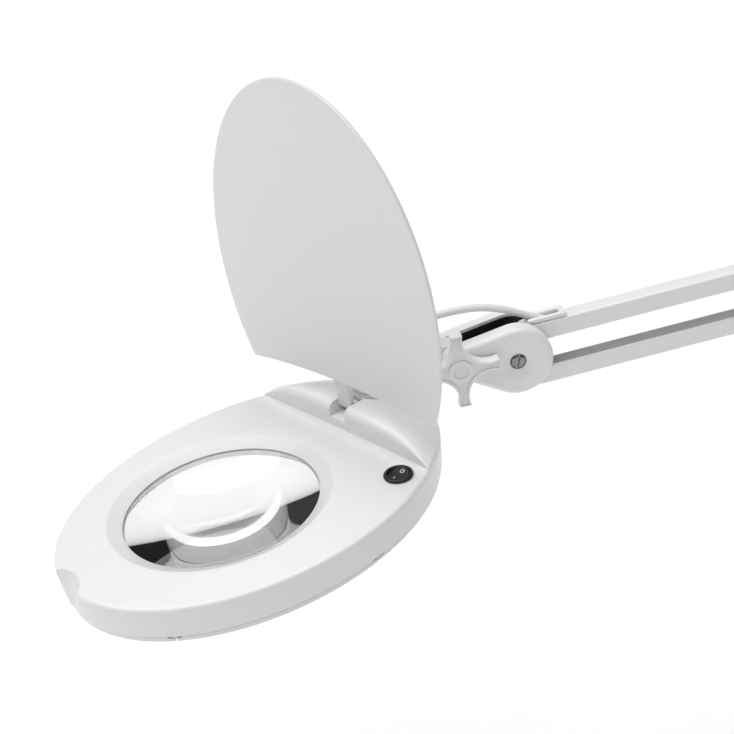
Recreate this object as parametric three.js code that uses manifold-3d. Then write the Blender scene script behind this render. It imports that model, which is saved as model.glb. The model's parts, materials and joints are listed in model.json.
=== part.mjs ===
// Illuminated magnifier lamp: an oval lens head with a flip-up cover, on a spring-balanced parallel arm
// with a table clamp. Millimetres, +Z up. The arm lies in the X-Z plane, the head at -X, and the origin is
// on the table top, under the clamp's upper jaw, on the axis that the whole arm turns on.

import * as THREE from 'three';
import { mergeVertices } from 'three/addons/utils/BufferGeometryUtils.js';
import Module from 'manifold-3d';

const wasm = await Module();
wasm.setup();

// ---------------------------------------------------------------- driving dimensions

const GAP = 0.3;                  // clearance between pieces that touch
const PIVOT_CLEARANCE = 0.3;      // radial clearance of a pin in a moving part

// Head
const HEAD_HALF_WIDTH = 103.5;    // oval outline, across
const HEAD_HALF_LENGTH = 133.3;   // oval outline, front to rear
const HEAD_CENTRE_Y = 26.9;       // the oval's centre, behind the lens axis
const SHELL_HEIGHT = 20.5;        // upper shell, rim to lower edge
const SHELL_WALL = 2.5;
const TOP_RISE = 1.5;             // the top face's rise from the rim to the lens bevel
const LOWER_HEIGHT = 5;           // lower housing that shows under the shell
const LOWER_INSET = 2.6;
const DECK_FRONT_Y = 98.8;        // step face of the raised rear deck
const DECK_HEIGHT = 17;
const DECK_EDGE_RADIUS = 6;

// Optics
const LENS_RADIUS = 63.5;
const LENS_EDGE = 3;
const LENS_CURVATURE = 347;       // both faces, three dioptres
const LENS_SEAT_Z = -4;
const APERTURE_RADIUS = 62.5;
const BEVEL_RADIUS = 71;
const WINDOW_RADIUS = 88;         // light window in the lower housing
const BOARD_INNER_RADIUS = 69.5;
const BOARD_OUTER_RADIUS = 83;
const BOARD_THICKNESS = 1.6;
const BOARD_TOP_Z = -11;
const LED_COUNT = 32;
const SCOOP_RADIUS = 24.7;        // finger scoop in the front of the rim, that the cover is lifted at
const SCOOP_X = -9;
const SCOOP_DEPTH = 8.1;          // at the top of the rim
const SCOOP_LEAN = 18;            // degrees from upright, so that it runs out at the lower edge

// Switch
const SWITCH_X = 75.5;
const SWITCH_Y = 83;
const SWITCH_HOLE_RADIUS = 7.6;
const SWITCH_FLANGE_RADIUS = 9.4;
const ROCKER_RADIUS = 6.9;
const ROCKER_TILT = 7;            // degrees, from level to one end of its travel

// Cover and its hinge
const COVER_OVERHANG = 3.2;       // past the head's oval
const COVER_THICKNESS = 2.6;
const COVER_CLEARANCE = 1.8;      // over the top face when closed, so that it clears the switch
const COVER_REAR_Y = 97;          // rear corners of the closed cover
const COVER_REAR_ARCH = 8;        // how far the rear edge arches forward in the middle
const COVER_OPEN = 90;            // degrees
const HINGE_Y = 112;
const HINGE_Z = 13.2;
const HINGE_PIN_RADIUS = 1.5;
const KNUCKLE_RADIUS = 3.7;
const TAB_WIDTH = 16;
const TAB_THICKNESS = 3.5;
const POCKET_HALF_WIDTH = 10;
const POCKET_FLOOR_Z = 7;

// Neck, which turns on the head, and the joint housing at the arm's end
const NECK_Y = 138;
const NECK_BOSS_RADIUS = 20.5;
const NECK_BOSS_TOP = 18.4;
const NECK_FLANGE_RADIUS = 19.5;
const NECK_FLANGE_HEIGHT = 4;
const NECK_STEM_RADIUS = 6;
const NECK_TONGUE = 14.8;         // width between the cheeks
const NECK_END_RADIUS = 9.4;
const NECK_TO_TILT_X = 49.3;      // from the neck's axis to the tilt bolt, along the arm
const NECK_TO_TILT_Z = 36.5;
const HEAD_SWIVEL = -54.7;        // degrees the head is turned about the neck
const HEAD_TILT = -9;             // degrees the head leans along the arm
const JOINT_SPAN = 41.6;          // tilt bolt to the centre screw
const CHEEK_RADIUS = 24.7;
const CHEEK_END_RADIUS = 10;
const CHEEK_GAP = 16;             // between the two cheeks
const CHEEK_WIDTH = 12;
const CHEEK_WALL = 2.5;
const SCREW_BOSS_RADIUS = 7.5;
const BOLT_BOSS_RADIUS = 5;
const LINER_INSET = 0.4;          // of a friction liner's face, from the cheek's
const LINER_THICKNESS = 2;
const SCREW_RADIUS = 2.5;
const SCREW_HEAD_RADIUS = 5.4;
const TILT_BOLT_RADIUS = 3;
const KNOB_TIP_RADIUS = 26.5;
const KNOB_ARM_WIDTH = 9.6;
const KNOB_WAIST = 12.5;           // centre to the bottom of the hollow between two arms
const KNOB_THICKNESS = 9.5;

// Arm
const BAR_WIDTH = 14;
const BAR_HEIGHT = 13;
const BAR_WALL = 1.5;
const ARM_LENGTH = 400;           // pivot to pivot, front and rear arm alike
const PIVOT_PITCH = 34.5;         // between the two pivots of a bracket
const FRONT_PITCH_ANGLE = 13;     // degrees that the front arm rises towards the elbow
const REAR_PITCH_ANGLE = 70;      // degrees of the rear arm above the table
const PIN_RADIUS = 2.5;
const PIN_HEAD_RADIUS = 4.3;
const PIN_HEAD_HEIGHT = 1.4;
const PLATE_CLEARANCE = 0.6;      // between a bar and the plate beside it
const SHORT_PIN_SHY = 0.4;        // how far a pin between the cheeks ends short of them
const BASE_PLATE_THICKNESS = 3;
const SPRING_OFFSET = 22;         // spring's first hook from the bar's pivot
const ELBOW_RISE = 47;            // rear arm's pivots to the front arm's lower pivot
const ELBOW_SET_BACK = 5.2;       // front arm's pivots from the rear arm's far side
const PLATE_THICKNESS = 2.5;
const PLATE_MARGIN = 9.5;         // edge of a plate round its pivots
const SPRING_RADIUS = 4.4;
const SPRING_LENGTH = 150;
const SPRING_WIRE = 1.4;
const SPRING_PIN_RADIUS = 1.5;
const LEAD_RADIUS = 2.6;
const LEAD_RISE = 1.5;            // lead's centre above the bar's, inside the bar
const LEAD_SLOT_START = 4;        // slot in the upper bar's back, from the front pivot
const LEAD_SLOT_END = 24;
const CLIP_START = 1;
const CLIP_END = 28;
const CLIP_WIDTH = 13.2;
const CLIP_HEIGHT = 3.4;
const INLET_X = 22;               // power inlet at the end of the base bracket's throat
const INLET_RISE = 13.7;          // above the base bracket's underside

// Base and clamp
const BASE_PIVOT_Z = 78;
const POST_RADIUS = 6;
const POST_LENGTH = 34;
const SOCKET_RADIUS = 14;
const SOCKET_TOP = 46;
const JAW_WIDTH = 44;
const JAW_THICKNESS = 9;
const JAW_REACH = 34;             // clamp's spine from the post's axis
const JAW_FRONT = 32;             // jaw's free end from the post's axis
const JAW_OPENING = 60;
const CLAMP_SCREW_RADIUS = 5;
const PAD_RADIUS = 17;
const PAD_THICKNESS = 5;
const TABLE_GAP = 30;             // between jaw and pad as modelled
const HANDLE_LENGTH = 62;
const HANDLE_RADIUS = 3;
const HANDLE_END_RADIUS = 4.6;
const HUB_RADIUS = 8.5;
const PAD_PIN_RADIUS = 3.4;

// ---------------------------------------------------------------- finishes

const white = () => new THREE.MeshStandardMaterial({ color: 0xecebe9, roughness: 0.38, metalness: 0 });
const whiteMetal = () => new THREE.MeshStandardMaterial({ color: 0xe6e5e3, roughness: 0.42, metalness: 0.1 });
const black = () => new THREE.MeshStandardMaterial({ color: 0x17181a, roughness: 0.35, metalness: 0 });
const steel = () => new THREE.MeshStandardMaterial({ color: 0xb9bbbd, roughness: 0.3, metalness: 1 });
const glass = () => new THREE.MeshStandardMaterial({ color: 0xdfe9ea, roughness: 0.03, metalness: 0 });
const frosted = () => new THREE.MeshStandardMaterial({ color: 0xf4f5f3, roughness: 0.6, metalness: 0 });
const board = () => new THREE.MeshStandardMaterial({ color: 0xe8ebe4, roughness: 0.5, metalness: 0 });
const greenBoard = () => new THREE.MeshStandardMaterial({ color: 0x2f6b45, roughness: 0.5, metalness: 0 });
const rubber = () => new THREE.MeshStandardMaterial({ color: 0x2a2a2b, roughness: 0.8, metalness: 0 });

// ---------------------------------------------------------------- solids

const radians = THREE.MathUtils.degToRad;

function toSolid(geometry) {
  const bare = geometry.clone();
  bare.deleteAttribute('normal');
  bare.deleteAttribute('uv');
  const merged = mergeVertices(bare, 1e-4);
  return new wasm.Manifold(new wasm.Mesh({
    numProp: 3,
    vertProperties: new Float32Array(merged.attributes.position.array),
    triVerts: new Uint32Array(merged.index.array),
  }));
}

function toGeometry(solid) {
  const mesh = solid.getMesh();
  const geometry = new THREE.BufferGeometry();
  geometry.setAttribute('position', new THREE.BufferAttribute(mesh.vertProperties, 3));
  geometry.setIndex(new THREE.BufferAttribute(mesh.triVerts, 1));
  return geometry;
}

const join = (first, ...rest) => toGeometry(rest.reduce((sum, g) => sum.add(toSolid(g)), toSolid(first)));
const cut = (first, ...rest) => toGeometry(rest.reduce((sum, g) => sum.subtract(toSolid(g)), toSolid(first)));
const common = (first, second) => toGeometry(toSolid(first).intersect(toSolid(second)));

function box(x0, x1, y0, y1, z0, z1) {
  const geometry = new THREE.BoxGeometry(x1 - x0, y1 - y0, z1 - z0);
  return geometry.translate((x0 + x1) / 2, (y0 + y1) / 2, (z0 + z1) / 2);
}

// A round rod between two points.
function rod(radius, from, to, sides = 12) {
  const start = new THREE.Vector3(...from);
  const along = new THREE.Vector3(...to).sub(start);
  const geometry = new THREE.CylinderGeometry(radius, radius, along.length(), sides);
  const direction = along.clone().normalize();
  const turn = new THREE.Quaternion().setFromUnitVectors(new THREE.Vector3(0, 1, 0), direction);
  return geometry.applyQuaternion(turn).translate(...start.addScaledVector(along, 0.5).toArray());
}

function pinAcross(radius, x, z, halfWidth, sides = 12) {
  return rod(radius, [x, -halfWidth, z], [x, halfWidth, z], sides);
}

function upright(radius, x, y, z0, z1, sides = 20) {
  return rod(radius, [x, y, z0], [x, y, z1], sides);
}

// A solid turned about Z from a closed profile of [radius, height] pairs.
function turned(profile, sides = 40) {
  const points = profile.map(([radius, z]) => new THREE.Vector2(radius, z));
  return new THREE.LatheGeometry([...points, points[0]], sides).rotateX(Math.PI / 2);
}

// An outline in X and Z, extruded across Y from y0 to y1.
function plate(shape, y0, y1, curveSegments = 8) {
  const geometry = new THREE.ExtrudeGeometry(shape, { depth: y1 - y0, bevelEnabled: false, curveSegments });
  return geometry.rotateX(Math.PI / 2).translate(0, y1, 0);
}

// The belt round a list of circles [x, y, radius], given anticlockwise.
function beltShape(circles) {
  const shape = new THREE.Shape();
  circles.forEach(([x, y, radius], index) => {
    const [xBefore, yBefore, radiusBefore] = circles[(index + circles.length - 1) % circles.length];
    const [xAfter, yAfter, radiusAfter] = circles[(index + 1) % circles.length];
    const before = tangentAngle(xBefore, yBefore, radiusBefore, x, y, radius);
    const after = tangentAngle(x, y, radius, xAfter, yAfter, radiusAfter);
    if (index === 0) shape.moveTo(x + radius * Math.cos(before), y + radius * Math.sin(before));
    else shape.lineTo(x + radius * Math.cos(before), y + radius * Math.sin(before));
    shape.absarc(x, y, radius, before, after, false);
  });
  return shape;
}

// The angle at which the outer tangent from one circle to the next touches them both.
function tangentAngle(x0, y0, radius0, x1, y1, radius1) {
  const distance = Math.hypot(x1 - x0, y1 - y0);
  const direction = Math.atan2(y1 - y0, x1 - x0);
  return direction - Math.acos((radius0 - radius1) / distance);
}

// A tube along a hand-picked route.
function tube(radius, route, steps, sides = 10) {
  const section = new THREE.Shape().absarc(0, 0, radius, 0, 2 * Math.PI, false);
  const points = route.map((point) => new THREE.Vector3(...point));
  const path = new THREE.CatmullRomCurve3(points, false, 'centripetal');
  return new THREE.ExtrudeGeometry(section, { steps, extrudePath: path, curveSegments: sides / 2 });
}

// Faces between rings of equal length, with both end rings capped, or the last joined to the first.
function loft(rings, closed = false) {
  const count = rings[0].length;
  const positions = rings.flat().flatMap((point) => point.toArray());
  const faces = [];
  const last = closed ? rings.length : rings.length - 1;
  for (let ring = 0; ring < last; ring += 1) {
    const next = (ring + 1) % rings.length;
    for (let i = 0; i < count; i += 1) {
      const j = (i + 1) % count;
      faces.push(ring * count + i, ring * count + j, next * count + j);
      faces.push(ring * count + i, next * count + j, next * count + i);
    }
  }
  if (!closed) {
    for (const [ring, forward] of [[0, false], [rings.length - 1, true]]) {
      const total = rings[ring].reduce((sum, point) => sum.add(point), new THREE.Vector3());
      const centre = total.divideScalar(count);
      const hub = positions.length / 3;
      positions.push(...centre.toArray());
      for (let i = 0; i < count; i += 1) {
        const edge = [ring * count + i, ring * count + ((i + 1) % count)];
        if (!forward) edge.reverse();
        faces.push(...edge, hub);
      }
    }
  }
  const geometry = new THREE.BufferGeometry();
  geometry.setAttribute('position', new THREE.Float32BufferAttribute(positions, 3));
  geometry.setIndex(faces);
  return geometry;
}

// ---------------------------------------------------------------- head outline

const RING_POINTS = 56;

// A ring of the head's oval, set in by a distance along its normals.
function oval(inset, z) {
  return Array.from({ length: RING_POINTS }, (_, i) => {
    const angle = (2 * Math.PI * i) / RING_POINTS;
    const normal = new THREE.Vector2(HEAD_HALF_LENGTH * Math.cos(angle), HEAD_HALF_WIDTH * Math.sin(angle));
    normal.normalize();
    return new THREE.Vector3(
      HEAD_HALF_WIDTH * Math.cos(angle) - inset * normal.x,
      HEAD_CENTRE_Y + HEAD_HALF_LENGTH * Math.sin(angle) - inset * normal.y,
      z,
    );
  });
}

// A ring of a circle about the lens axis, with its points facing those of the oval.
function circle(radius, z) {
  return oval(0, z).map(({ x, y }) => {
    const bearing = Math.atan2(y, x);
    return new THREE.Vector3(radius * Math.cos(bearing), radius * Math.sin(bearing), z);
  });
}

// The raised rear deck: domed, falling to nothing at the rim, with a step face rounded over at its top.
function deckSolid(inset, height, frontY, floorZ) {
  const flatShare = 0.54;
  const columns = 14;
  const rearY = HEAD_CENTRE_Y + HEAD_HALF_LENGTH - inset - 2.5;
  const depths = [0, 0.8, 2.6, 6, 18, 32, 44, 53].filter((depth) => frontY + depth < rearY);
  const rings = [...depths.map((depth) => frontY + depth), rearY].map((y) => {
    const share = (y - HEAD_CENTRE_Y) / (HEAD_HALF_LENGTH - inset);
    const halfWidth = (HEAD_HALF_WIDTH - inset) * Math.sqrt(Math.max(0, 1 - share ** 2)) - 1.6;
    const run = Math.min(1, (y - frontY) / DECK_EDGE_RADIUS);
    const edge = 0.62 + 0.38 * Math.sqrt(1 - (1 - run) ** 2);
    const top = Array.from({ length: columns + 1 }, (_, i) => {
      const x = halfWidth * Math.cos((Math.PI * i) / columns);
      const reach = Math.min(1, Math.hypot(x / (HEAD_HALF_WIDTH - inset), share));
      const fall = Math.max(0, (reach - flatShare) / (1 - flatShare));
      return new THREE.Vector3(x, y, height * edge * (1 - fall ** 3));
    });
    return [new THREE.Vector3(-halfWidth, y, floorZ), new THREE.Vector3(halfWidth, y, floorZ), ...top];
  });
  return loft(rings.map((ring) => ring.reverse()));
}

// ---------------------------------------------------------------- head pieces (head frame)

const screwPlaces = [[40, -86.5], [-51, -80.5], [87, 60], [-87, 60]];
const lowerEdgeZ = -SHELL_HEIGHT - LOWER_HEIGHT;
const tabTopZ = HINGE_Z - 1.5;

function headHousing() {
  const wallTop = -2.2;
  const rings = [
    oval(1.4, -SHELL_HEIGHT),
    oval(0, wallTop),
    oval(0.5, -0.7),
    oval(1.6, 0),
    circle(BEVEL_RADIUS + 1.2, TOP_RISE),
    circle(BEVEL_RADIUS - 0.6, TOP_RISE - 0.5),
    circle(APERTURE_RADIUS, LENS_SEAT_Z + 0.9),
    circle(APERTURE_RADIUS, LENS_SEAT_Z),
    circle(LENS_RADIUS + GAP, LENS_SEAT_Z),
    circle(LENS_RADIUS + GAP, LENS_SEAT_Z - 7.2),
    circle(LENS_RADIUS + GAP + SHELL_WALL, LENS_SEAT_Z - 7.2),
    circle(LENS_RADIUS + GAP + SHELL_WALL, LENS_SEAT_Z + 0.6),
    circle(BEVEL_RADIUS + 1.2, TOP_RISE - SHELL_WALL),
    oval(SHELL_WALL + 0.6, -SHELL_WALL),
    oval(SHELL_WALL + 1.4, -SHELL_HEIGHT),
  ];
  const shell = loft(rings, true);
  const deck = deckSolid(0, DECK_HEIGHT, DECK_FRONT_Y, -1.5);
  const hollow = deckSolid(SHELL_WALL + 1, DECK_HEIGHT - SHELL_WALL, DECK_FRONT_Y + SHELL_WALL, -8);
  const block = POCKET_HALF_WIDTH + 5;
  const blockFloor = POCKET_FLOOR_Z - SHELL_WALL;
  const hingeBlock = box(-block, block, DECK_FRONT_Y + 1.8, HINGE_Y + 7.5, blockFloor, HINGE_Z + 1.8);
  const boss = upright(NECK_BOSS_RADIUS, 0, NECK_Y, -1.2, NECK_BOSS_TOP, 36);
  const bossCeiling = NECK_BOSS_TOP - SHELL_WALL - 0.5;
  const bossHollow = upright(NECK_BOSS_RADIUS - SHELL_WALL, 0, NECK_Y, -8, bossCeiling, 36);
  const posts = screwPlaces.map(([x, y]) => upright(3.8, x, y, -SHELL_HEIGHT + 1, -SHELL_WALL + 1, 10));
  const pilots = screwPlaces.map(([x, y]) => upright(1.5 + GAP, x, y, -SHELL_HEIGHT, -9, 8));
  const inside = loft([oval(SHELL_WALL - 0.6, -SHELL_HEIGHT + 0.6), oval(SHELL_WALL - 0.6, -1)]);
  const scoopWall = common(scoop(SCOOP_RADIUS + SHELL_WALL, -SHELL_HEIGHT - 2), inside);
  const domed = cut(join(shell, deck), hollow);
  const hollowed = cut(join(domed, hingeBlock, boss, ...posts, scoopWall), bossHollow, ...pilots);
  const pinReach = POCKET_HALF_WIDTH + 4;
  return cut(
    hollowed,
    scoop(SCOOP_RADIUS, lowerEdgeZ - 5),
    upright(NECK_STEM_RADIUS + PIVOT_CLEARANCE, 0, NECK_Y, 0, NECK_BOSS_TOP + 5),
    upright(SWITCH_HOLE_RADIUS + GAP, SWITCH_X, SWITCH_Y, -6, 8, 28),
    box(
      -POCKET_HALF_WIDTH, POCKET_HALF_WIDTH,
      DECK_FRONT_Y - 6, HINGE_Y + 5.2,
      POCKET_FLOOR_Z, DECK_HEIGHT + 9,
    ),
    rod(HINGE_PIN_RADIUS + GAP, [-pinReach, HINGE_Y, HINGE_Z], [pinReach, HINGE_Y, HINGE_Z], 10),
  );
}

// The round tool shape of the finger scoop, leaning outwards as it goes down.
function scoop(radius, bottom) {
  const lean = Math.tan(radians(SCOOP_LEAN));
  const centreY = HEAD_CENTRE_Y - HEAD_HALF_LENGTH + SCOOP_DEPTH - SCOOP_RADIUS;
  const at = (z) => [SCOOP_X, centreY + z * lean, z];
  return rod(radius, at(bottom), at(8), 56);
}

function lensGlass() {
  const sag = LENS_CURVATURE - Math.sqrt(LENS_CURVATURE ** 2 - LENS_RADIUS ** 2);
  const topEdge = LENS_SEAT_Z - GAP;
  const arcs = 4;
  const profile = [];
  for (let i = 0; i <= arcs; i += 1) {
    const radius = (LENS_RADIUS * i) / arcs;
    const drop = LENS_CURVATURE - Math.sqrt(LENS_CURVATURE ** 2 - radius ** 2);
    profile.push([radius, topEdge - LENS_EDGE - sag + drop]);
  }
  for (let i = arcs; i >= 0; i -= 1) {
    const radius = (LENS_RADIUS * i) / arcs;
    const drop = LENS_CURVATURE - Math.sqrt(LENS_CURVATURE ** 2 - radius ** 2);
    profile.push([radius, topEdge + sag - drop]);
  }
  const points = profile.map(([radius, z]) => new THREE.Vector2(radius, z));
  return new THREE.LatheGeometry(points, 40).rotateX(Math.PI / 2);
}

function lensRing() {
  const top = LENS_SEAT_Z - GAP - LENS_EDGE - GAP;
  return turned([
    [LENS_RADIUS - 2.4, top - 2.6],
    [LENS_RADIUS - GAP, top - 2.6],
    [LENS_RADIUS - GAP, top],
    [LENS_RADIUS - 1.2, top],
    [LENS_RADIUS - 2.4, top - 0.6],
  ]);
}

function ledBoard() {
  const underside = BOARD_TOP_Z - BOARD_THICKNESS;
  const ring = turned([
    [BOARD_INNER_RADIUS, underside],
    [BOARD_OUTER_RADIUS, underside],
    [BOARD_OUTER_RADIUS, BOARD_TOP_Z],
    [BOARD_INNER_RADIUS, BOARD_TOP_Z],
  ]);
  const middle = (BOARD_INNER_RADIUS + BOARD_OUTER_RADIUS) / 2;
  const chips = Array.from({ length: LED_COUNT }, (_, i) => {
    const chip = box(middle - 1.4, middle + 1.4, -1.75, 1.75, underside - 0.8, underside + 0.2);
    return chip.rotateZ((2 * Math.PI * i) / LED_COUNT);
  });
  return join(ring, ...chips);
}

function lightDiffuser() {
  const bottom = lowerEdgeZ + 2.4 + GAP;
  return turned([
    [LENS_RADIUS + 0.6, bottom],
    [WINDOW_RADIUS + 1.8, bottom],
    [WINDOW_RADIUS + 1.8, bottom + 1.8],
    [LENS_RADIUS + 2.4, bottom + 1.8],
    [LENS_RADIUS + 2.4, LENS_SEAT_Z - 7.2 - 2 * GAP],
    [LENS_RADIUS + 0.6, LENS_SEAT_Z - 7.2 - 2 * GAP],
  ]);
}

function lowerHousing() {
  const floorTop = lowerEdgeZ + 2.4;
  const rings = [
    oval(LOWER_INSET + 1.6, lowerEdgeZ),
    oval(LOWER_INSET, lowerEdgeZ + 1.2),
    oval(LOWER_INSET, -SHELL_HEIGHT - GAP),
    oval(LOWER_INSET + 2.1, -SHELL_HEIGHT - GAP),
    oval(LOWER_INSET + 2.1, floorTop),
    circle(WINDOW_RADIUS + 2.8, floorTop),
    circle(WINDOW_RADIUS, floorTop),
    circle(WINDOW_RADIUS, lowerEdgeZ),
  ];
  const shell = loft(rings, true);
  const rim = turned([
    [WINDOW_RADIUS + 2.1, floorTop - 0.5],
    [WINDOW_RADIUS + 3.6, floorTop - 0.5],
    [WINDOW_RADIUS + 3.6, floorTop + 2.2],
    [WINDOW_RADIUS + 2.1, floorTop + 2.2],
  ]);
  const pillars = screwPlaces.map(([x, y]) => upright(4.6, x, y, lowerEdgeZ + 0.6, -SHELL_HEIGHT - GAP, 10));
  const heads = screwPlaces.map(([x, y]) => upright(3.1 + GAP, x, y, lowerEdgeZ - 1, lowerEdgeZ + 2.3, 10));
  const shanks = screwPlaces.map(([x, y]) => upright(1.5 + GAP, x, y, lowerEdgeZ - 1, 0, 8));
  const notchPlaces = [[60, -78], [-60, -78], [101, 39], [-101, 39]];
  const notches = notchPlaces.flatMap(([x, y]) => {
    const bearing = Math.atan2(y, x);
    const reach = Math.hypot(x, y);
    const slot = box(reach - 9, reach + 9, -0.9, 0.9, lowerEdgeZ - 1, -SHELL_HEIGHT + 1);
    const recess = box(reach - 9, reach + 9, -4.2, 4.2, lowerEdgeZ + 2.9, -SHELL_HEIGHT + 1);
    return [slot.rotateZ(bearing), recess.rotateZ(bearing)];
  });
  const lensOpening = scoop(SCOOP_RADIUS, lowerEdgeZ - 5);
  return cut(join(shell, rim, ...pillars), ...heads, ...shanks, ...notches, lensOpening);
}

function housingScrew([x, y]) {
  const top = lowerEdgeZ + 2.3 - GAP;
  return join(
    upright(3.1, x, y, top - 1.8, top, 10),
    upright(1.5, x, y, top - 0.2, -10, 8),
  );
}

function driverBoard() {
  const z = -14;
  return join(
    box(-34, 30, 92, 122, z, z + 1.6),
    upright(5, -22, 106, z + 1, z + 10, 20),
    box(-8, 6, 98, 112, z + 1, z + 8),
    box(14, 22, 96, 104, z + 1, z + 4),
    box(12, 24, 108, 114, z + 1, z + 6),
  );
}

function switchBody() {
  const flangeBottom = TOP_RISE - 0.35;
  const body = turned([
    [ROCKER_RADIUS + GAP, -6],
    [SWITCH_HOLE_RADIUS, -6],
    [SWITCH_HOLE_RADIUS, flangeBottom],
    [SWITCH_FLANGE_RADIUS, flangeBottom],
    [SWITCH_FLANGE_RADIUS - 0.7, flangeBottom + 1.5],
    [ROCKER_RADIUS + GAP, flangeBottom + 1.1],
  ], 28);
  const back = upright(SWITCH_HOLE_RADIUS, 0, 0, -14, -5.8, 28);
  const terminals = [-3.5, 3.5].map((y) => box(-2.4, 2.4, y - 0.4, y + 0.4, -19, -13.8));
  return join(body, back, ...terminals).translate(SWITCH_X, SWITCH_Y, 0);
}

// The rocker, level, about the middle of its own round axle.
function switchRocker() {
  const disc = upright(ROCKER_RADIUS - 0.25, 0, 0, -2.2, 2.1, 28);
  const dish = rod(26, [-12, 0, 27.1], [12, 0, 27.1], 96);
  return cut(disc, dish);
}

function washer(inner, outer, z0, z1) {
  return turned([[inner, z0], [outer, z0], [outer, z1], [inner, z1]], 20);
}

// A hexagonal nut about Z.
function nut(hole, acrossFlats, z0, z1) {
  const corner = acrossFlats / Math.sqrt(3);
  return cut(upright(corner, 0, 0, z0, z1, 6), upright(hole, 0, 0, z0 - 1, z1 + 1, 14));
}

// ---------------------------------------------------------------- cover (head frame, closed)

const coverBottomZ = TOP_RISE + COVER_CLEARANCE;

function lensCover() {
  const disc = loft([
    oval(-COVER_OVERHANG + 0.8, coverBottomZ),
    oval(-COVER_OVERHANG, coverBottomZ + 0.8),
    oval(-COVER_OVERHANG, coverBottomZ + COVER_THICKNESS - 0.8),
    oval(-COVER_OVERHANG + 1.1, coverBottomZ + COVER_THICKNESS),
  ]);
  const sweepRadius = (HEAD_HALF_WIDTH ** 2 + COVER_REAR_ARCH ** 2) / (2 * COVER_REAR_ARCH);
  const beyond = upright(sweepRadius, 0, COVER_REAR_Y - COVER_REAR_ARCH + sweepRadius, coverBottomZ - 5,
    coverBottomZ + 10, 180);
  const arm = new THREE.Shape();
  const tabBottomZ = tabTopZ - TAB_THICKNESS;
  arm.moveTo(HINGE_Y, tabBottomZ);
  arm.lineTo(HINGE_Y, tabTopZ);
  arm.lineTo(74, tabTopZ);
  arm.lineTo(60, coverBottomZ + 1.5);
  arm.lineTo(76, coverBottomZ + 1.5);
  arm.lineTo(82, tabBottomZ);
  const tab = new THREE.ExtrudeGeometry(arm, { depth: TAB_WIDTH, bevelEnabled: false });
  const across = tab.rotateX(Math.PI / 2).rotateZ(Math.PI / 2).translate(-TAB_WIDTH / 2, 0, 0);
  const half = TAB_WIDTH / 2;
  const knuckle = rod(KNUCKLE_RADIUS, [-half, HINGE_Y, HINGE_Z], [half, HINGE_Y, HINGE_Z]);
  const boreRadius = HINGE_PIN_RADIUS + PIVOT_CLEARANCE;
  const bore = rod(boreRadius, [-TAB_WIDTH, HINGE_Y, HINGE_Z], [TAB_WIDTH, HINGE_Y, HINGE_Z]);
  return cut(join(cut(disc, beyond), across, knuckle), bore);
}

function coverHingePin() {
  const reach = POCKET_HALF_WIDTH + 4 - GAP;
  return rod(HINGE_PIN_RADIUS, [-reach, HINGE_Y, HINGE_Z], [reach, HINGE_Y, HINGE_Z]);
}

// ---------------------------------------------------------------- neck (neck frame: Z is the swivel axis)

const tilt = radians(HEAD_TILT);
const ORIGIN = new THREE.Vector2();
const tiltBolt = new THREE.Vector2(NECK_TO_TILT_X, NECK_TO_TILT_Z).rotateAround(ORIGIN, tilt);
const neckPlace = new THREE.Vector2(-JOINT_SPAN - NECK_TO_TILT_X, -NECK_TO_TILT_Z);   // from the centre screw
// The lead's arch from the neck into the upper bar's slot, from the centre screw.
const leadRoute = [
  [-86, 0, 6],
  [-81, 0, 15.5],
  [-71, 0, 23],
  [-56, 0, 28.2],
  [-40, 0, 31.8],
  [-25, 0, 33.2],
  [-10, 0, 31.6],
  [4, 0, 27.7],
  [15.3, 0, 24.2],
  [24.5, 0, 22],
  [33.3, 0, 21.4],
];
const neckFlangeTop = NECK_BOSS_TOP + GAP + NECK_FLANGE_HEIGHT;

function neckBracket() {
  const stem = turned([
    [0, 3],
    [NECK_STEM_RADIUS, 3],
    [NECK_STEM_RADIUS, NECK_BOSS_TOP + GAP],
    [NECK_FLANGE_RADIUS, NECK_BOSS_TOP + GAP],
    [NECK_FLANGE_RADIUS, neckFlangeTop - 1.5],
    [NECK_FLANGE_RADIUS - 1.5, neckFlangeTop],
    [0, neckFlangeTop],
  ]);
  const arm = plate(beltShape([
    [-6, neckFlangeTop + 4, 6],
    [10, neckFlangeTop - 0.5, 3],
    [tiltBolt.x, tiltBolt.y, NECK_END_RADIUS],
    [2, neckFlangeTop + 12, 9],
  ]), -NECK_TONGUE / 2, NECK_TONGUE / 2);
  const bolt = pinAcross(TILT_BOLT_RADIUS + PIVOT_CLEARANCE, tiltBolt.x, tiltBolt.y, NECK_TONGUE);
  const inNeck = ([x, , z]) => new THREE.Vector2(x, z).sub(neckPlace).rotateAround(ORIGIN, tilt);
  const [entry, next] = leadRoute.map(inNeck);
  const along = next.clone().sub(entry).normalize();
  const inner = entry.clone().addScaledVector(along, -GAP);
  const outer = entry.clone().addScaledVector(along, 12);
  const leadHole = rod(LEAD_RADIUS + GAP, [inner.x, 0, inner.y], [outer.x, 0, outer.y]);
  return cut(join(stem, arm), bolt, leadHole);
}

// ------------------------------------------------- joint housing (arm plane, from the centre screw)

const cheekOutline = () => beltShape([[0, 0, CHEEK_RADIUS], [-JOINT_SPAN, 0, CHEEK_END_RADIUS]]);

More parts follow.
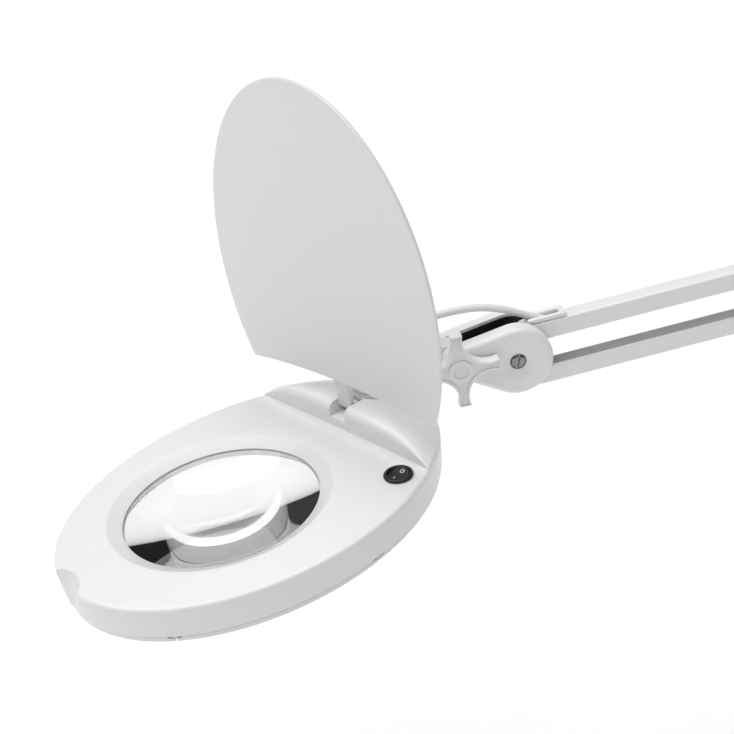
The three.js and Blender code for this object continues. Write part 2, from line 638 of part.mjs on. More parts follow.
function cheek(side) {
  const inner = CHEEK_GAP / 2;
  const outer = inner + CHEEK_WIDTH;
  const roundOver = 4.5;
  const inset = new THREE.ExtrudeGeometry(
    beltShape([[0, 0, CHEEK_RADIUS - roundOver], [-JOINT_SPAN, 0, CHEEK_END_RADIUS - roundOver]]),
    {
      depth: 2 * (outer - roundOver), bevelEnabled: true, bevelSize: roundOver, bevelThickness: roundOver,
      bevelSegments: 3, curveSegments: 12,
    },
  );
  const whole = inset.rotateX(Math.PI / 2).translate(0, outer - roundOver, 0);
  const half = common(whole, box(-80, 40, inner, outer + 1, -40, 40));
  const hollow = plate(
    beltShape([[0, 0, CHEEK_RADIUS - CHEEK_WALL], [-JOINT_SPAN, 0, CHEEK_END_RADIUS - CHEEK_WALL]]),
    inner - 1, outer - CHEEK_WALL - roundOver + 1.5,
  );
  const screwBoss = pinAcross(SCREW_BOSS_RADIUS, 0, 0, outer - 3, 20);
  const boltBoss = pinAcross(BOLT_BOSS_RADIUS, -JOINT_SPAN, 0, outer - 3, 20);
  const bossHalf = common(join(screwBoss, boltBoss), box(-80, 40, inner, outer, -40, 40));
  const dish = turned([[0, 0], [4.8, 0], [12, 2.6], [12, 5], [0, 5]], 24).rotateX(-Math.PI / 2);
  const seat = rod(SCREW_HEAD_RADIUS + GAP, [0, outer - 4.2, 0], [0, outer + 2, 0], 20);
  const drill = join(
    pinAcross(SCREW_RADIUS + PIVOT_CLEARANCE, 0, 0, outer + 2),
    pinAcross(TILT_BOLT_RADIUS + PIVOT_CLEARANCE, -JOINT_SPAN, 0, outer + 2),
  );
  const finished = cut(join(cut(half, hollow), bossHalf), dish.translate(0, outer - 2.5, 0), seat, drill);
  return side > 0 ? finished : mirrorAcross(finished);
}

// A black friction liner that fills the mouth of a cheek's hollow, round its two bosses.
function frictionLiner(side) {
  const inner = CHEEK_GAP / 2 + LINER_INSET;
  const wall = CHEEK_WALL + GAP;
  const outline = beltShape([[0, 0, CHEEK_RADIUS - wall], [-JOINT_SPAN, 0, CHEEK_END_RADIUS - wall]]);
  const liner = cut(
    plate(outline, inner, inner + LINER_THICKNESS, 12),
    pinAcross(SCREW_BOSS_RADIUS + GAP, 0, 0, 20, 20),
    pinAcross(BOLT_BOSS_RADIUS + GAP, -JOINT_SPAN, 0, 20, 20),
  );
  return side > 0 ? liner : mirrorAcross(liner);
}

// The same piece on the other side of the arm's plane.
function mirrorAcross(geometry) {
  const mirrored = geometry.clone();
  mirrored.scale(1, -1, 1);
  const index = mirrored.index.array;
  for (let i = 0; i < index.length; i += 3) {
    const swap = index[i];
    index[i] = index[i + 1];
    index[i + 1] = swap;
  }
  return mirrored;
}

const cheekOuter = CHEEK_GAP / 2 + CHEEK_WIDTH;

function centreScrew() {
  const headBottom = cheekOuter - 4.2 + GAP;
  const head = rod(SCREW_HEAD_RADIUS, [0, -headBottom, 0], [0, -headBottom - 2.4, 0], 20);
  const shank = rod(SCREW_RADIUS, [0, -headBottom - 0.5, 0], [0, cheekOuter - 1.2, 0]);
  const slot = box(-0.8, 0.8, -headBottom - 3, -headBottom - 1.1, -8, 8).rotateY(radians(8));
  return cut(join(head, shank), slot);
}

function centreNut() {
  const flat = nut(SCREW_RADIUS + GAP, 8, 0, 3).rotateX(-Math.PI / 2);
  return flat.translate(0, cheekOuter - 4.2 + GAP, 0);
}

function frontBracket() {
  const outline = beltShape([
    [-1, 0, 6.2],
    [frontPivot.x, frontPivot.y - PIVOT_PITCH, 4.5],
    [frontPivot.x, frontPivot.y, 4.5],
  ]);
  const body = plate(outline, -bracketHalf, bracketHalf);
  return cut(
    body,
    pinAcross(SCREW_RADIUS + PIVOT_CLEARANCE, 0, 0, 20),
    pinAcross(PIN_RADIUS + GAP, frontPivot.x, frontPivot.y, 20),
    pinAcross(PIN_RADIUS + GAP, frontPivot.x, frontPivot.y - PIVOT_PITCH, 20),
  );
}

const frontPivot = new THREE.Vector2(9, 14.1);          // upper front pivot, from the centre screw
const bracketHalf = BAR_WIDTH / 2 - BAR_WALL - 0.5;

function tiltBoltPiece() {
  const headInner = cheekOuter + GAP;
  const head = rod(6.2, [-JOINT_SPAN, headInner, 0], [-JOINT_SPAN, headInner + 4, 0], 6);
  const shank = rod(TILT_BOLT_RADIUS, [-JOINT_SPAN, headInner + 1, 0], [-JOINT_SPAN, -cheekOuter - 7, 0]);
  return join(head, shank);
}

function starKnob() {
  const arms = 4;
  const half = KNOB_ARM_WIDTH / 2;
  // The hollow between two arms is an arc through both arms' corners and the waist between them.
  const cornerAlong = (KNOB_TIP_RADIUS + half) * Math.SQRT1_2;
  const cornerAcross = (KNOB_TIP_RADIUS - half) * Math.SQRT1_2;
  const cornerSquared = cornerAlong ** 2 + cornerAcross ** 2;
  const hollowPlace = (cornerSquared - KNOB_WAIST ** 2) / (2 * (cornerAlong - KNOB_WAIST));
  const hollowRadius = hollowPlace - KNOB_WAIST;
  const sweep = Math.atan2(cornerAcross, hollowPlace - cornerAlong);
  const shape = new THREE.Shape();
  for (let i = 0; i < arms; i += 1) {
    const valley = ((i + 0.5) * 2 * Math.PI) / arms;
    const [x, y] = [hollowPlace * Math.cos(valley), hollowPlace * Math.sin(valley)];
    const start = valley + Math.PI + sweep;
    const corner = [x + hollowRadius * Math.cos(start), y + hollowRadius * Math.sin(start)];
    if (i === 0) shape.moveTo(...corner);
    else shape.lineTo(...corner);
    shape.absarc(x, y, hollowRadius, start, valley + Math.PI - sweep, true);
  }
  const inner = -cheekOuter - 0.6;
  const star = plate(shape, inner - KNOB_THICKNESS, inner, 8);
  const dimple = rod(5.2, [0, inner - KNOB_THICKNESS - 1, 0], [0, inner - KNOB_THICKNESS + 1, 0], 20);
  const thread = rod(TILT_BOLT_RADIUS + GAP, [0, inner + 1, 0], [0, -cheekOuter - 7 - GAP, 0]);
  return cut(star, dimple, thread).rotateY(radians(-14)).translate(-JOINT_SPAN, 0, 0);
}

// ---------------------------------------------------------------- arm (arm plane)

// A channel from pivot to pivot along +X, open to -Z, with round ends and a slot in its back for the lead.
function bar(leadSlot = false) {
  const round = BAR_HEIGHT / 2;
  const outline = beltShape([[0, 0, round], [ARM_LENGTH, 0, round]]);
  const inner = BAR_WIDTH / 2 - BAR_WALL;
  const channel = box(-20, ARM_LENGTH + 20, -inner, inner, -20, round - BAR_WALL);
  return cut(
    plate(outline, -BAR_WIDTH / 2, BAR_WIDTH / 2, 6),
    channel,
    pinAcross(PIN_RADIUS + PIVOT_CLEARANCE, 0, 0, BAR_WIDTH),
    pinAcross(PIN_RADIUS + PIVOT_CLEARANCE, ARM_LENGTH, 0, BAR_WIDTH),
    ...(leadSlot ? [box(LEAD_SLOT_START, LEAD_SLOT_END, -leadWay, leadWay, 0, BAR_HEIGHT)] : []),
  );
}

// Two ridges on the bar's back, joined behind the slot that the lead goes in by.
function clip() {
  const base = BAR_HEIGHT / 2 + GAP;
  return cut(
    box(CLIP_START, CLIP_END, -CLIP_WIDTH / 2, CLIP_WIDTH / 2, base, base + CLIP_HEIGHT),
    box(CLIP_START - 1, LEAD_SLOT_END, -leadWay, leadWay, base - 1, base + CLIP_HEIGHT + 1),
  );
}

const leadWay = LEAD_RADIUS + GAP;
const shortPinHalf = CHEEK_GAP / 2 - SHORT_PIN_SHY;
const plateInner = BAR_WIDTH / 2 + PLATE_CLEARANCE;
const elbowPinHalf = plateInner + PLATE_THICKNESS + PIN_HEAD_HEIGHT + 0.2;

function headedPin(halfWidth) {
  const seat = halfWidth - PIN_HEAD_HEIGHT;
  return join(
    pinAcross(PIN_RADIUS, 0, 0, halfWidth),
    rod(PIN_HEAD_RADIUS, [0, seat, 0], [0, halfWidth, 0]),
    rod(PIN_HEAD_RADIUS, [0, -halfWidth, 0], [0, -seat, 0]),
  );
}

const elbowPivots = {
  rearLeft: [-PIVOT_PITCH / 2, 0],
  rearRight: [PIVOT_PITCH / 2, 0],
  frontLower: [ELBOW_SET_BACK, ELBOW_RISE],
  frontUpper: [ELBOW_SET_BACK, ELBOW_RISE + PIVOT_PITCH],
};

function elbowPlate(side) {
  const round = PLATE_MARGIN;
  const outline = beltShape([
    [...elbowPivots.rearLeft, round],
    [...elbowPivots.rearRight, round],
    [...elbowPivots.frontUpper, round],
  ]);
  const outer = plateInner + PLATE_THICKNESS;
  const y = side > 0 ? [plateInner, outer] : [-outer, -plateInner];
  const holes = Object.values(elbowPivots).map(([x, z]) => pinAcross(PIN_RADIUS + GAP, x, z, 20));
  return cut(plate(outline, ...y), ...holes);
}

// A close-wound spring along +X from its own start, with a straight hook at each end.
function spring() {
  const turns = 10;
  const coilStart = 10;
  const coilEnd = SPRING_LENGTH - 10;
  const profile = [[0, coilStart]];
  for (let i = 0; i < turns; i += 1) {
    const x = coilStart + ((coilEnd - coilStart) * i) / turns;
    const step = (coilEnd - coilStart) / turns;
    profile.push([SPRING_RADIUS - SPRING_WIRE * 0.4, x + step * 0.05], [SPRING_RADIUS, x + step * 0.5]);
  }
  profile.push([SPRING_RADIUS - SPRING_WIRE * 0.4, coilEnd - 0.05], [0, coilEnd]);
  const points = profile.map(([radius, z]) => new THREE.Vector2(radius, z));
  const coil = new THREE.LatheGeometry(points, 8).rotateZ(-Math.PI / 2);
  const hooks = rod(SPRING_WIRE / 2 + 0.2, [2, 0, 0], [SPRING_LENGTH - 2, 0, 0], 6);
  return join(coil, hooks);
}

// ---------------------------------------------------------------- base and clamp

const bracketFloor = SOCKET_TOP + GAP;
const basePlateOuter = plateInner + BASE_PLATE_THICKNESS;

function baseBracket() {
  const ear = beltShape([
    [-PIVOT_PITCH / 2, BASE_PIVOT_Z, PLATE_MARGIN],
    [-14, bracketFloor + 6, 6],
    [14, bracketFloor + 6, 6],
    [PIVOT_PITCH / 2, BASE_PIVOT_Z, PLATE_MARGIN],
  ]);
  const ears = plate(ear, -basePlateOuter, basePlateOuter);
  const throat = box(-60, 60, -plateInner, plateInner, bracketFloor + 8, BASE_PIVOT_Z + 40);
  const flange = upright(SOCKET_RADIUS, 0, 0, bracketFloor, bracketFloor + 8, 28);
  return cut(
    join(cut(ears, throat), flange),
    upright(POST_RADIUS + GAP, 0, 0, bracketFloor - 1, bracketFloor + 6.5),
    pinAcross(PIN_RADIUS + GAP, -PIVOT_PITCH / 2, BASE_PIVOT_Z, 30),
    pinAcross(PIN_RADIUS + GAP, PIVOT_PITCH / 2, BASE_PIVOT_Z, 30),
  );
}

// A round socket on a plate that closes the end of the throat.
function powerInlet() {
  const half = BAR_WIDTH / 2 + GAP;
  const z = bracketFloor + INLET_RISE;
  return cut(
    join(
      box(INLET_X, INLET_X + 3, -half, half, bracketFloor + 8 + GAP, z + 6),
      rod(4.6, [INLET_X + 2, 0, z], [INLET_X + 9, 0, z], 20),
    ),
    cut(
      rod(2.9, [INLET_X + 4, 0, z], [INLET_X + 10, 0, z], 16),
      rod(0.9, [INLET_X + 3, 0, z], [INLET_X + 8, 0, z], 8),
    ),
  );
}

function clampBody() {
  const frame = new THREE.Shape();
  const outerX = JAW_REACH + JAW_THICKNESS;
  const lowTop = -JAW_OPENING;
  frame.moveTo(-JAW_FRONT, 0);
  frame.lineTo(JAW_REACH, 0);
  frame.lineTo(JAW_REACH, lowTop);
  frame.lineTo(-SOCKET_RADIUS, lowTop);
  frame.lineTo(-SOCKET_RADIUS, lowTop - JAW_THICKNESS - 5);
  frame.lineTo(outerX - 6, lowTop - JAW_THICKNESS - 5);
  frame.quadraticCurveTo(outerX, lowTop - JAW_THICKNESS - 5, outerX, lowTop - JAW_THICKNESS + 1);
  frame.lineTo(outerX, JAW_THICKNESS - 6);
  frame.quadraticCurveTo(outerX, JAW_THICKNESS, outerX - 6, JAW_THICKNESS);
  frame.lineTo(-JAW_FRONT + 3, JAW_THICKNESS);
  frame.quadraticCurveTo(-JAW_FRONT, JAW_THICKNESS, -JAW_FRONT, JAW_THICKNESS - 3);
  const body = plate(frame, -JAW_WIDTH / 2, JAW_WIDTH / 2);
  const socket = upright(SOCKET_RADIUS, 0, 0, JAW_THICKNESS - 1, SOCKET_TOP, 28);
  return cut(
    join(body, socket),
    upright(POST_RADIUS + PIVOT_CLEARANCE, 0, 0, SOCKET_TOP - POST_LENGTH - 1, SOCKET_TOP + 1),
    upright(CLAMP_SCREW_RADIUS + PIVOT_CLEARANCE, 0, 0, lowTop - JAW_THICKNESS - 10, lowTop + 1),
  );
}

const padTop = -TABLE_GAP;
const padBottom = padTop - PAD_THICKNESS;
const screwBottom = -JAW_OPENING - JAW_THICKNESS - 52;
const hubFloor = screwBottom + 2;

function clampPad() {
  return turned([
    [0, padTop],
    [0, padBottom + 2.5],
    [4, padBottom + 2.5],
    [4, padBottom],
    [PAD_RADIUS - 1, padBottom],
    [PAD_RADIUS, padBottom + 1],
    [PAD_RADIUS, padTop],
  ], 28);
}

function clampScrew() {
  return join(
    upright(PAD_PIN_RADIUS, 0, 0, padBottom - 2, padBottom + 2.5 - GAP, 24),
    upright(CLAMP_SCREW_RADIUS, 0, 0, hubFloor + GAP, padBottom - GAP, 24),
  );
}

// A tommy bar with thicker ends, pressed into the hub that closes over the screw's end.
function clampHandle() {
  const half = HANDLE_LENGTH / 2;
  const z = screwBottom - 3;
  return cut(
    join(
      upright(HUB_RADIUS, 0, 0, screwBottom - 10, screwBottom + 8, 24),
      rod(HANDLE_RADIUS, [-half, 0, z], [half, 0, z]),
      rod(HANDLE_END_RADIUS, [-half - 5, 0, z], [-half, 0, z]),
      rod(HANDLE_END_RADIUS, [half, 0, z], [half + 5, 0, z]),
    ),
    upright(CLAMP_SCREW_RADIUS + GAP, 0, 0, hubFloor, screwBottom + 9, 24),
  );
}

// ---------------------------------------------------------------- assembly

const magnifier = new THREE.Group();

function add(parent, name, geometry, material) {
  const mesh = new THREE.Mesh(geometry, material);
  mesh.name = name;
  parent.add(mesh);
  return mesh;
}

function frameAt(parent, x, z, pitch = 0) {
  const group = new THREE.Group();
  group.position.set(x, 0, z);
  group.rotation.y = radians(-pitch);
  parent.add(group);
  return group;
}

// Clamp
add(magnifier, 'clamp_body', clampBody(), whiteMetal());
add(magnifier, 'clamp_pad', clampPad(), rubber());
add(magnifier, 'clamp_screw', clampScrew(), steel());
add(magnifier, 'clamp_handle', clampHandle(), steel());

// Base bracket, with the post it turns on
const stemTop = bracketFloor + 6.5 - GAP;
add(magnifier, 'base_bracket', baseBracket(), whiteMetal());
add(magnifier, 'swivel_post', upright(POST_RADIUS, 0, 0, SOCKET_TOP - POST_LENGTH, stemTop, 32), steel());

// Rear arm
const armEnd = (pitch) => [ARM_LENGTH * Math.cos(radians(pitch)), ARM_LENGTH * Math.sin(radians(pitch))];
const rearRise = armEnd(REAR_PITCH_ANGLE);
const leftFoot = frameAt(magnifier, -PIVOT_PITCH / 2, BASE_PIVOT_Z, REAR_PITCH_ANGLE);
const rightFoot = frameAt(magnifier, PIVOT_PITCH / 2, BASE_PIVOT_Z, REAR_PITCH_ANGLE);
add(leftFoot, 'rear_bar_front', bar(), whiteMetal());
add(rightFoot, 'rear_bar_back', bar().rotateX(Math.PI), whiteMetal());
const basePinHalf = basePlateOuter + PIN_HEAD_HEIGHT + 0.2;
add(frameAt(magnifier, -PIVOT_PITCH / 2, BASE_PIVOT_Z), 'base_pin_front', headedPin(basePinHalf), steel());
add(frameAt(magnifier, PIVOT_PITCH / 2, BASE_PIVOT_Z), 'base_pin_back', headedPin(basePinHalf), steel());

// Elbow
const elbow = frameAt(magnifier, rearRise[0], BASE_PIVOT_Z + rearRise[1]);
add(elbow, 'elbow_plate_near', elbowPlate(-1), whiteMetal());
add(elbow, 'elbow_plate_far', elbowPlate(1), whiteMetal());
for (const [name, pivot] of [
  ['elbow_pin_rear_front', elbowPivots.rearLeft],
  ['elbow_pin_rear_back', elbowPivots.rearRight],
  ['elbow_pin_lower', elbowPivots.frontLower],
  ['elbow_pin_upper', elbowPivots.frontUpper],
]) {
  add(frameAt(elbow, ...pivot), name, headedPin(elbowPinHalf), steel());
}

// Front arm, laid from the elbow towards the head
const frontRun = armEnd(FRONT_PITCH_ANGLE);
const lowerFront = [elbowPivots.frontLower[0] - frontRun[0], elbowPivots.frontLower[1] - frontRun[1]];
const upperBar = frameAt(elbow, lowerFront[0], lowerFront[1] + PIVOT_PITCH, FRONT_PITCH_ANGLE);
const lowerBar = frameAt(elbow, lowerFront[0], lowerFront[1], FRONT_PITCH_ANGLE);
add(upperBar, 'front_bar_upper', bar(true), whiteMetal());
add(lowerBar, 'front_bar_lower', bar().rotateX(Math.PI), whiteMetal());
add(upperBar, 'lead_clip', clip(), white());

// Springs, each in the channel of a bar
const springStart = ARM_LENGTH - SPRING_LENGTH - SPRING_OFFSET;
add(lowerBar, 'front_spring', spring().translate(springStart, 0, 0), steel());
add(rightFoot, 'rear_spring', spring().translate(SPRING_OFFSET, 0, 0), steel());
for (const [name, parent, x] of [
  ['front_spring_pin_bar', lowerBar, springStart],
  ['front_spring_pin_elbow', lowerBar, springStart + SPRING_LENGTH],
  ['rear_spring_pin_foot', rightFoot, SPRING_OFFSET],
  ['rear_spring_pin_bar', rightFoot, SPRING_OFFSET + SPRING_LENGTH],
]) {
  const halfLength = BAR_WIDTH / 2 - BAR_WALL - GAP;
  add(frameAt(parent, x, 0), name, pinAcross(SPRING_PIN_RADIUS, 0, 0, halfLength), steel());
}

// Joint housing
const joint = frameAt(elbow, lowerFront[0] - frontPivot.x, lowerFront[1] + PIVOT_PITCH - frontPivot.y);
add(joint, 'front_bracket', frontBracket(), steel());
const upperPlace = frameAt(joint, frontPivot.x, frontPivot.y);
add(upperPlace, 'front_pin_upper', pinAcross(PIN_RADIUS, 0, 0, shortPinHalf), steel());
const lowerPivotZ = frontPivot.y - PIVOT_PITCH;
const lowerPlace = frameAt(joint, frontPivot.x, lowerPivotZ);
add(lowerPlace, 'front_pin_lower', pinAcross(PIN_RADIUS, 0, 0, shortPinHalf), steel());
add(joint, 'cheek_near', cheek(-1), white());
add(joint, 'cheek_far', cheek(1), white());
add(joint, 'friction_liner_near', frictionLiner(-1), black());
add(joint, 'friction_liner_far', frictionLiner(1), black());
add(joint, 'centre_screw', centreScrew(), steel());
add(joint, 'centre_nut', centreNut(), steel());
add(joint, 'tilt_bolt', tiltBoltPiece(), steel());
add(joint, 'star_knob', starKnob(), white());

// Neck, and the head turned on it
const neck = new THREE.Group();
neck.position.set(neckPlace.x, 0, neckPlace.y);
neck.rotation.y = tilt;
joint.add(neck);
add(neck, 'neck_bracket', neckBracket(), white());
add(neck, 'swivel_washer', washer(NECK_STEM_RADIUS + GAP, 12, 13.6, 15.2), steel());
add(neck, 'swivel_nut', nut(NECK_STEM_RADIUS + GAP, 17, 6, 13.3), steel());

const head = new THREE.Group();
head.rotation.z = radians(HEAD_SWIVEL);
neck.add(head);
const shellFrame = new THREE.Group();
shellFrame.position.y = -NECK_Y;
head.add(shellFrame);
add(shellFrame, 'head_housing', headHousing(), white());
add(shellFrame, 'lower_housing', lowerHousing(), white());
add(shellFrame, 'lens', lensGlass(), glass());
add(shellFrame, 'lens_ring', lensRing(), white());
add(shellFrame, 'led_board', ledBoard(), board());
add(shellFrame, 'light_diffuser', lightDiffuser(), frosted());
add(shellFrame, 'driver_board', driverBoard(), greenBoard());
screwPlaces.forEach((place, index) => {
  add(shellFrame, `housing_screw_${index + 1}`, housingScrew(place), steel());
});
add(shellFrame, 'switch_body', switchBody(), black());
const rocker = new THREE.Group();
rocker.position.set(SWITCH_X, SWITCH_Y, 0);
rocker.rotation.x = radians(ROCKER_TILT);
shellFrame.add(rocker);
add(rocker, 'switch_rocker', switchRocker(), black());
add(shellFrame, 'cover_hinge_pin', coverHingePin(), steel());

const cover = new THREE.Group();
cover.position.set(0, HINGE_Y, HINGE_Z);
cover.rotation.x = radians(-COVER_OPEN);
shellFrame.add(cover);
add(cover, 'lens_cover', lensCover().translate(0, -HINGE_Y, -HINGE_Z), white());

// Lead: over the joint housing, through the upper bar, behind the elbow's pivots and down the rear bar
const leadStart = LEAD_SLOT_END + 2;
const leadTurn = ARM_LENGTH - 28;
const rearLeadTop = ARM_LENGTH - 88;
const rearLeadFoot = 60;
add(joint, 'lead_head', tube(LEAD_RADIUS, leadRoute, 24, 8), white());
const frontLead = rod(LEAD_RADIUS, [leadStart, 0, LEAD_RISE], [leadTurn, 0, LEAD_RISE], 8);
add(upperBar, 'lead_front', frontLead, white());
add(elbow, 'lead_elbow', tube(LEAD_RADIUS, [
  [-21.5, 0, 76.9],
  [-14, 0, 76.6],
  [-5.5, 0, 72.6],
  [2.5, 0, 66.6],
  [10.8, 0, 60.2],
  [15.6, 0, 50],
  [15.8, 0, 38],
  [12, 0, 23],
  [5.5, 0, 8],
  [-0.5, 0, -6],
  [-6.6, 0, -19],
  [-15.6, 0, -32.4],
  [-26.2, 0, -45.2],
  [-36, 0, -57.8],
  [-42.9, 0, -70.2],
  [-48.6, 0, -81.9],
], 36, 8), white());
const rearLead = rod(LEAD_RADIUS, [rearLeadFoot, 0, LEAD_RISE], [rearLeadTop, 0, LEAD_RISE], 8);
add(leftFoot, 'lead_rear', rearLead, white());
add(magnifier, 'lead_base', tube(LEAD_RADIUS, [
  [1.8, 0, 134.6],
  [-2.2, 0, 122.5],
  [-3.2, 0, 110],
  [-0.8, 0, 98],
  [0.8, 0, 87],
  [1.6, 0, 76],
  [4.5, 0, 66.6],
  [11.5, 0, 61],
  [INLET_X - GAP, 0, bracketFloor + INLET_RISE],
], 20, 8), white());
add(magnifier, 'power_inlet', powerInlet(), black());

export default magnifier;
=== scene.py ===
import json
import math

import bmesh
import bpy
from mathutils import Matrix, Vector


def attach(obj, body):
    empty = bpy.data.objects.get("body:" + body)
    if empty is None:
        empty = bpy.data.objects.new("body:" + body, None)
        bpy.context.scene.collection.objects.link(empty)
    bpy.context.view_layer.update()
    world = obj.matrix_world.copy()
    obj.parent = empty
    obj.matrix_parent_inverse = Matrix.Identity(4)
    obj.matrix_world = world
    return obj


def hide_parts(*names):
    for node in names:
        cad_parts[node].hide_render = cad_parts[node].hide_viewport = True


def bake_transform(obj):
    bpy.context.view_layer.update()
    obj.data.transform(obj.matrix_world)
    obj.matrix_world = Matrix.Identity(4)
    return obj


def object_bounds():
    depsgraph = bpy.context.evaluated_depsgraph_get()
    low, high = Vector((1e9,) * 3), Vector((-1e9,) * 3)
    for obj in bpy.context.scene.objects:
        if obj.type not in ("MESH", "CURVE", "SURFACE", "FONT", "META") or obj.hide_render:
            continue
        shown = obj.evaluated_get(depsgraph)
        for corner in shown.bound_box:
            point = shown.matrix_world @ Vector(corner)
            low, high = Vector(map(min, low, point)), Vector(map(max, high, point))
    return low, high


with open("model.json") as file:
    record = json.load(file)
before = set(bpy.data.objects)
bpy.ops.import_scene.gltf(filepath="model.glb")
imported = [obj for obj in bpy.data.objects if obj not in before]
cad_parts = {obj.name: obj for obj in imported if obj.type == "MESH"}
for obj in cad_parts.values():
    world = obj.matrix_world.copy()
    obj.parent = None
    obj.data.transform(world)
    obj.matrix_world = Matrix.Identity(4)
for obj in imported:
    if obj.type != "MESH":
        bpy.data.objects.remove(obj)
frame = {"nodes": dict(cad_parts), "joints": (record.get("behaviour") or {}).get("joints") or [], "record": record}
CAD_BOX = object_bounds()

bl_info = {
    "name": "Magnifier Lamp",
    "version": (1, 0, 0),
    "blender": (4, 5, 0),
    "location": "3D View > Sidebar > Magnifier Lamp",
    "description": "Finished pieces and materials for a magnifier lamp on a spring-balanced arm",
    "category": "Object",
}

MM = 0.001
SMOOTH_ANGLE = math.radians(32)
JOINTS = {joint["name"]: joint for joint in frame["joints"]}

# ---------------------------------------------------------------- frames of the moving parts


def joint_point(name):
    """A joint's point, in metres in the row frame."""
    return Vector(JOINTS[name]["pos_m"])


def axes(origin, x_axis, z_axis):
    """A frame in millimetres, with its X and Z axes given, as a matrix to the row frame."""
    z_axis = z_axis.normalized()
    x_axis = (x_axis - z_axis * x_axis.dot(z_axis)).normalized()
    turn = Matrix((x_axis, z_axis.cross(x_axis), z_axis)).transposed().to_4x4()
    return Matrix.Translation(origin) @ turn @ Matrix.Scale(MM, 4)


HINGE_Y = 112.0
HINGE_Z = 13.2
NECK_Y = 138.0
FLAT = Vector((1, 0, 0))
UP = Vector((0, 0, 1))
ACROSS = Vector((0, 1, 0))

# The head's frame has the lens's axis as Z, and X across the head. The neck turns on the same Z.
HEAD_Z = Vector(JOINTS["head_swivel"]["axis"]).normalized()
HEAD_X = Vector(JOINTS["cover_hinge"]["axis"]).normalized()
if HEAD_X.x < 0:
    HEAD_X = -HEAD_X
if HEAD_Z.z < 0:
    HEAD_Z = -HEAD_Z
HEAD_Y = HEAD_Z.cross(HEAD_X)
HEAD_ORIGIN = joint_point("cover_hinge") - (HEAD_Y * HINGE_Y + HEAD_Z * HINGE_Z) * MM
HEAD = axes(HEAD_ORIGIN, HEAD_X, HEAD_Z)
NECK = axes(HEAD_ORIGIN + HEAD_Y * NECK_Y * MM, ACROSS.cross(HEAD_Z), HEAD_Z)
JOINT = axes(joint_point("cheek_pivot"), FLAT, UP)
TILT = axes(joint_point("head_tilt"), FLAT, UP)
COVER = axes(joint_point("cover_hinge"), HEAD_X, HEAD_Z) @ Matrix.Rotation(math.radians(-90), 4, "X")


def along(start, end):
    """A bar's frame: X from its first pivot to its second, Z square to it, in the arm's plane."""
    run = end - start
    return axes(start, run, run.cross(ACROSS))


BAR_LENGTH = (joint_point("elbow_level") - joint_point("rear_arm")).length / MM
PIVOT_PITCH = (joint_point("front_arm") - joint_point("lower_bar_pivot")).length / MM
RISE = UP * PIVOT_PITCH * MM
UPPER_BAR = along(joint_point("arm_end_level"), joint_point("front_arm"))
LOWER_BAR = along(joint_point("arm_end_level") - RISE, joint_point("lower_bar_pivot"))
REAR_RUN = joint_point("elbow_level") - joint_point("rear_arm")
REAR_BAR_A = along(joint_point("rear_arm"), joint_point("elbow_level"))
REAR_BAR_B = along(joint_point("rear_bar_b_pivot"), joint_point("rear_bar_b_pivot") + REAR_RUN)
BASE = axes(Vector((0, 0, 0)), FLAT, UP)
ELBOW = axes(joint_point("elbow_level") + FLAT * PIVOT_PITCH / 2 * MM, FLAT, UP)
BASE_PIVOT_Z = joint_point("rear_arm").z / MM

# ---------------------------------------------------------------- colours


def colour(code):
    """An sRGB hex code as linear red, green and blue, with an alpha of 1."""
    channels = [int(code[i:i + 2], 16) / 255 for i in (0, 2, 4)]
    return tuple(c / 12.92 if c <= 0.04045 else ((c + 0.055) / 1.055) ** 2.4 for c in channels) + (1.0,)


# ---------------------------------------------------------------- sizes and colours that a user may change


def length(name, description, default):
    """A length property, given in millimetres and kept in metres."""
    return bpy.props.FloatProperty(
        name=name, description=description, default=default * MM, min=0, unit="LENGTH"
    )


def tint(name, description, code):
    """A colour property, from an sRGB hex code."""
    return bpy.props.FloatVectorProperty(
        name=name, description=description, default=colour(code), size=4, min=0, max=1, subtype="COLOR")


class LampSizes(bpy.types.PropertyGroup):
    """Sizes that finish the lamp's edges and its repeated pieces."""
    rim_round: length("Rim rounding", "Radius between the head's wall and its top", 2.6)
    edge_round: length("Edge rounding", "Radius on the edges of the bent steel bars", 1.2)
    plate_round: length("Plate rounding", "Radius on the edges of flat steel plates", 0.7)
    cover_round: length("Cover rounding", "Radius on the edges of the lens cover", 0.9)
    knob_round: length("Knob rounding", "Radius on the edges of the star knob", 1.1)
    spring_wire: length("Spring wire", "Diameter of the balance springs' wire", 1.5)
    thread_pitch: length("Thread pitch", "Rise of the clamp screw in one turn", 2.0)
    spring_pitch: length("Spring pitch", "Rise of a balance spring in one turn", 1.75)
    chip_count: bpy.props.IntProperty(
        name="Light chips", description="Number of chips round the lens", default=32
    )


class LampColours(bpy.types.PropertyGroup):
    """Colours of the lamp's finishes."""
    moulding: tint("Moulding", "Colour of the moulded plastic pieces", "E9E9E8")
    coating: tint("Coating", "Colour of the coated steel pieces", "E8E8E7")
    lead: tint("Lead", "Colour of the lead's sheath", "E8E8E6")
    switch: tint("Switch", "Colour of the switch and the inlet", "17181A")
    rubber: tint("Rubber", "Colour of the clamp's pad", "2A2A2B")
    board: tint("Board", "Colour of the light board's lacquer", "EEF0EA")
    floor: tint("Floor", "Colour of the studio floor", "FDFDFD")


# ---------------------------------------------------------------- meshes, in millimetres about their own frames


def solid(vertices, faces, name="solid"):
    """A new object from corners and faces."""
    mesh = bpy.data.meshes.new(name)
    mesh.from_pydata([tuple(vertex) for vertex in vertices], [], faces)
    mesh.update()
    obj = bpy.data.objects.new(name, mesh)
    bpy.context.scene.collection.objects.link(obj)
    return obj


